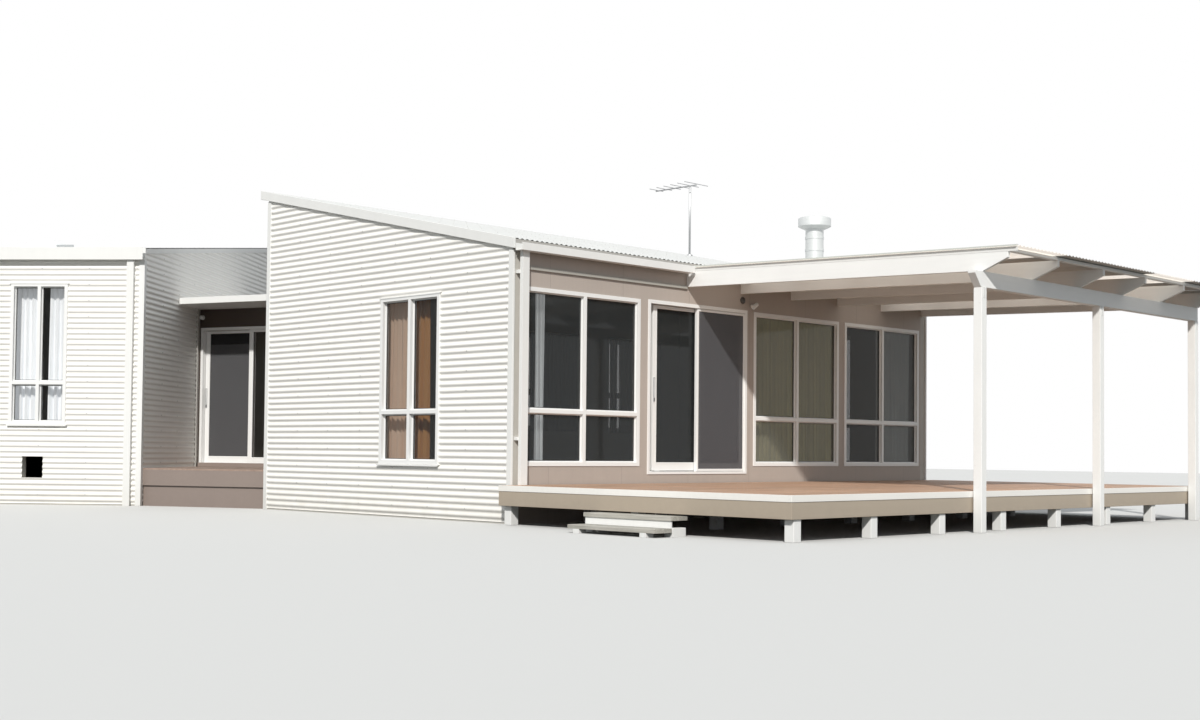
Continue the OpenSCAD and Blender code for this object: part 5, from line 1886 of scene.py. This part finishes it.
@dataclass
class Studio:
    """Camera, sun, world and floor."""

    eye: tuple[float, float, float] = (-15.296, -15.08, 0.824)
    yaw: float = 44.889
    pitch: float = 1.875
    roll: float = 0.546
    lens: float = 44.859
    shift: float = 0.03548
    sun_from: tuple[float, float, float] = (-0.62, -0.55, 0.60)
    sun_strength: float = 3.55
    sun_width: float = 2.0
    sun_colour: Colour = (1.0, 0.975, 0.93)
    sky: float = 0.55
    sky_colour: Colour = (0.88, 0.94, 1.0)
    floor_size: float = 120.0
    floor_lit: Colour = (0.07, 0.07, 0.06)
    floor_seen: Colour = (0.64, 0.64, 0.63)

    def camera(self) -> None:
        """Camera at the photograph's place, looking along its yaw and pitch and rolled."""
        yaw, pitch, roll = (math.radians(a) for a in (self.yaw, self.pitch, self.roll))
        forward = Vector((math.sin(yaw) * math.cos(pitch), math.cos(yaw) * math.cos(pitch), math.sin(pitch)))
        right = Vector((math.cos(yaw), -math.sin(yaw), 0.0))
        up = right.cross(forward)
        across = right * math.cos(roll) + up * math.sin(roll)
        over = up * math.cos(roll) - right * math.sin(roll)
        data = bpy.data.cameras.new("view")
        data.sensor_width, data.lens, data.shift_y, data.clip_end = 36.0, self.lens, self.shift, 500.0
        camera = linked(bpy.data.objects.new("view", data))
        camera.matrix_world = Matrix((across, over, -forward)).transposed().to_4x4()
        camera.location = self.eye
        bpy.context.scene.camera = camera

    def lights(self) -> None:
        """One soft sun from the front left."""
        data = bpy.data.lights.new("sun", "SUN")
        data.energy, data.angle, data.color = self.sun_strength, math.radians(self.sun_width), self.sun_colour
        sun = linked(bpy.data.objects.new("sun", data))
        sun.rotation_euler = Vector(self.sun_from).to_track_quat("Z", "Y").to_euler()

    def world(self) -> None:
        """White where the camera, a reflection or glass sees it, and a softer sky as light."""
        world = bpy.context.scene.world = bpy.data.worlds.new("studio")
        g = Graph(world)
        sky, white = (g.node("ShaderNodeBackground", None, {0: (*colour, 1.0), 1: strength})
                      for colour, strength in ((self.sky_colour, self.sky), ((1.0, 1.0, 1.0), 1.0)))
        both = g.node("ShaderNodeMixShader", None, {0: g.seen(), 1: sky, 2: white})
        g.node("ShaderNodeOutputWorld", None, {0: both})

    def floor(self) -> None:
        """Wide floor, pale where it is seen and darker in the light that it throws back."""
        x, y = np.meshgrid(*[[-self.floor_size / 2, self.floor_size / 2]] * 2)
        floor = new_object("studio_floor", (np.stack([x, y, 0 * x], -1), grid_faces(2, 2)), Skin.PLAIN)
        g = Graph(bpy.data.materials.new("studio floor"))
        tone = g.mix(g.seen(), self.floor_lit, self.floor_seen)
        floor.data.materials.append(g.finish(Base_Color=tone, Roughness=0.9))

    def build(self) -> None:
        """Sets the studio."""
        bpy.context.scene.view_settings.view_transform = "Standard"
        self.camera()
        self.lights()
        self.world()
        self.floor()


def main() -> None:
    """Builds every part in order."""
    logging.basicConfig(level=logging.INFO, format="%(name)s: %(message)s")
    house = House()
    for part in (Studio(), WallSheets(house), RoofSheets(house), Trims(house), Glazed(house), Curtains(house),
                 Deck(), Verandah(), Link(house), Fittings(house)):
        part.build()


if __name__ == "__main__":
    main()
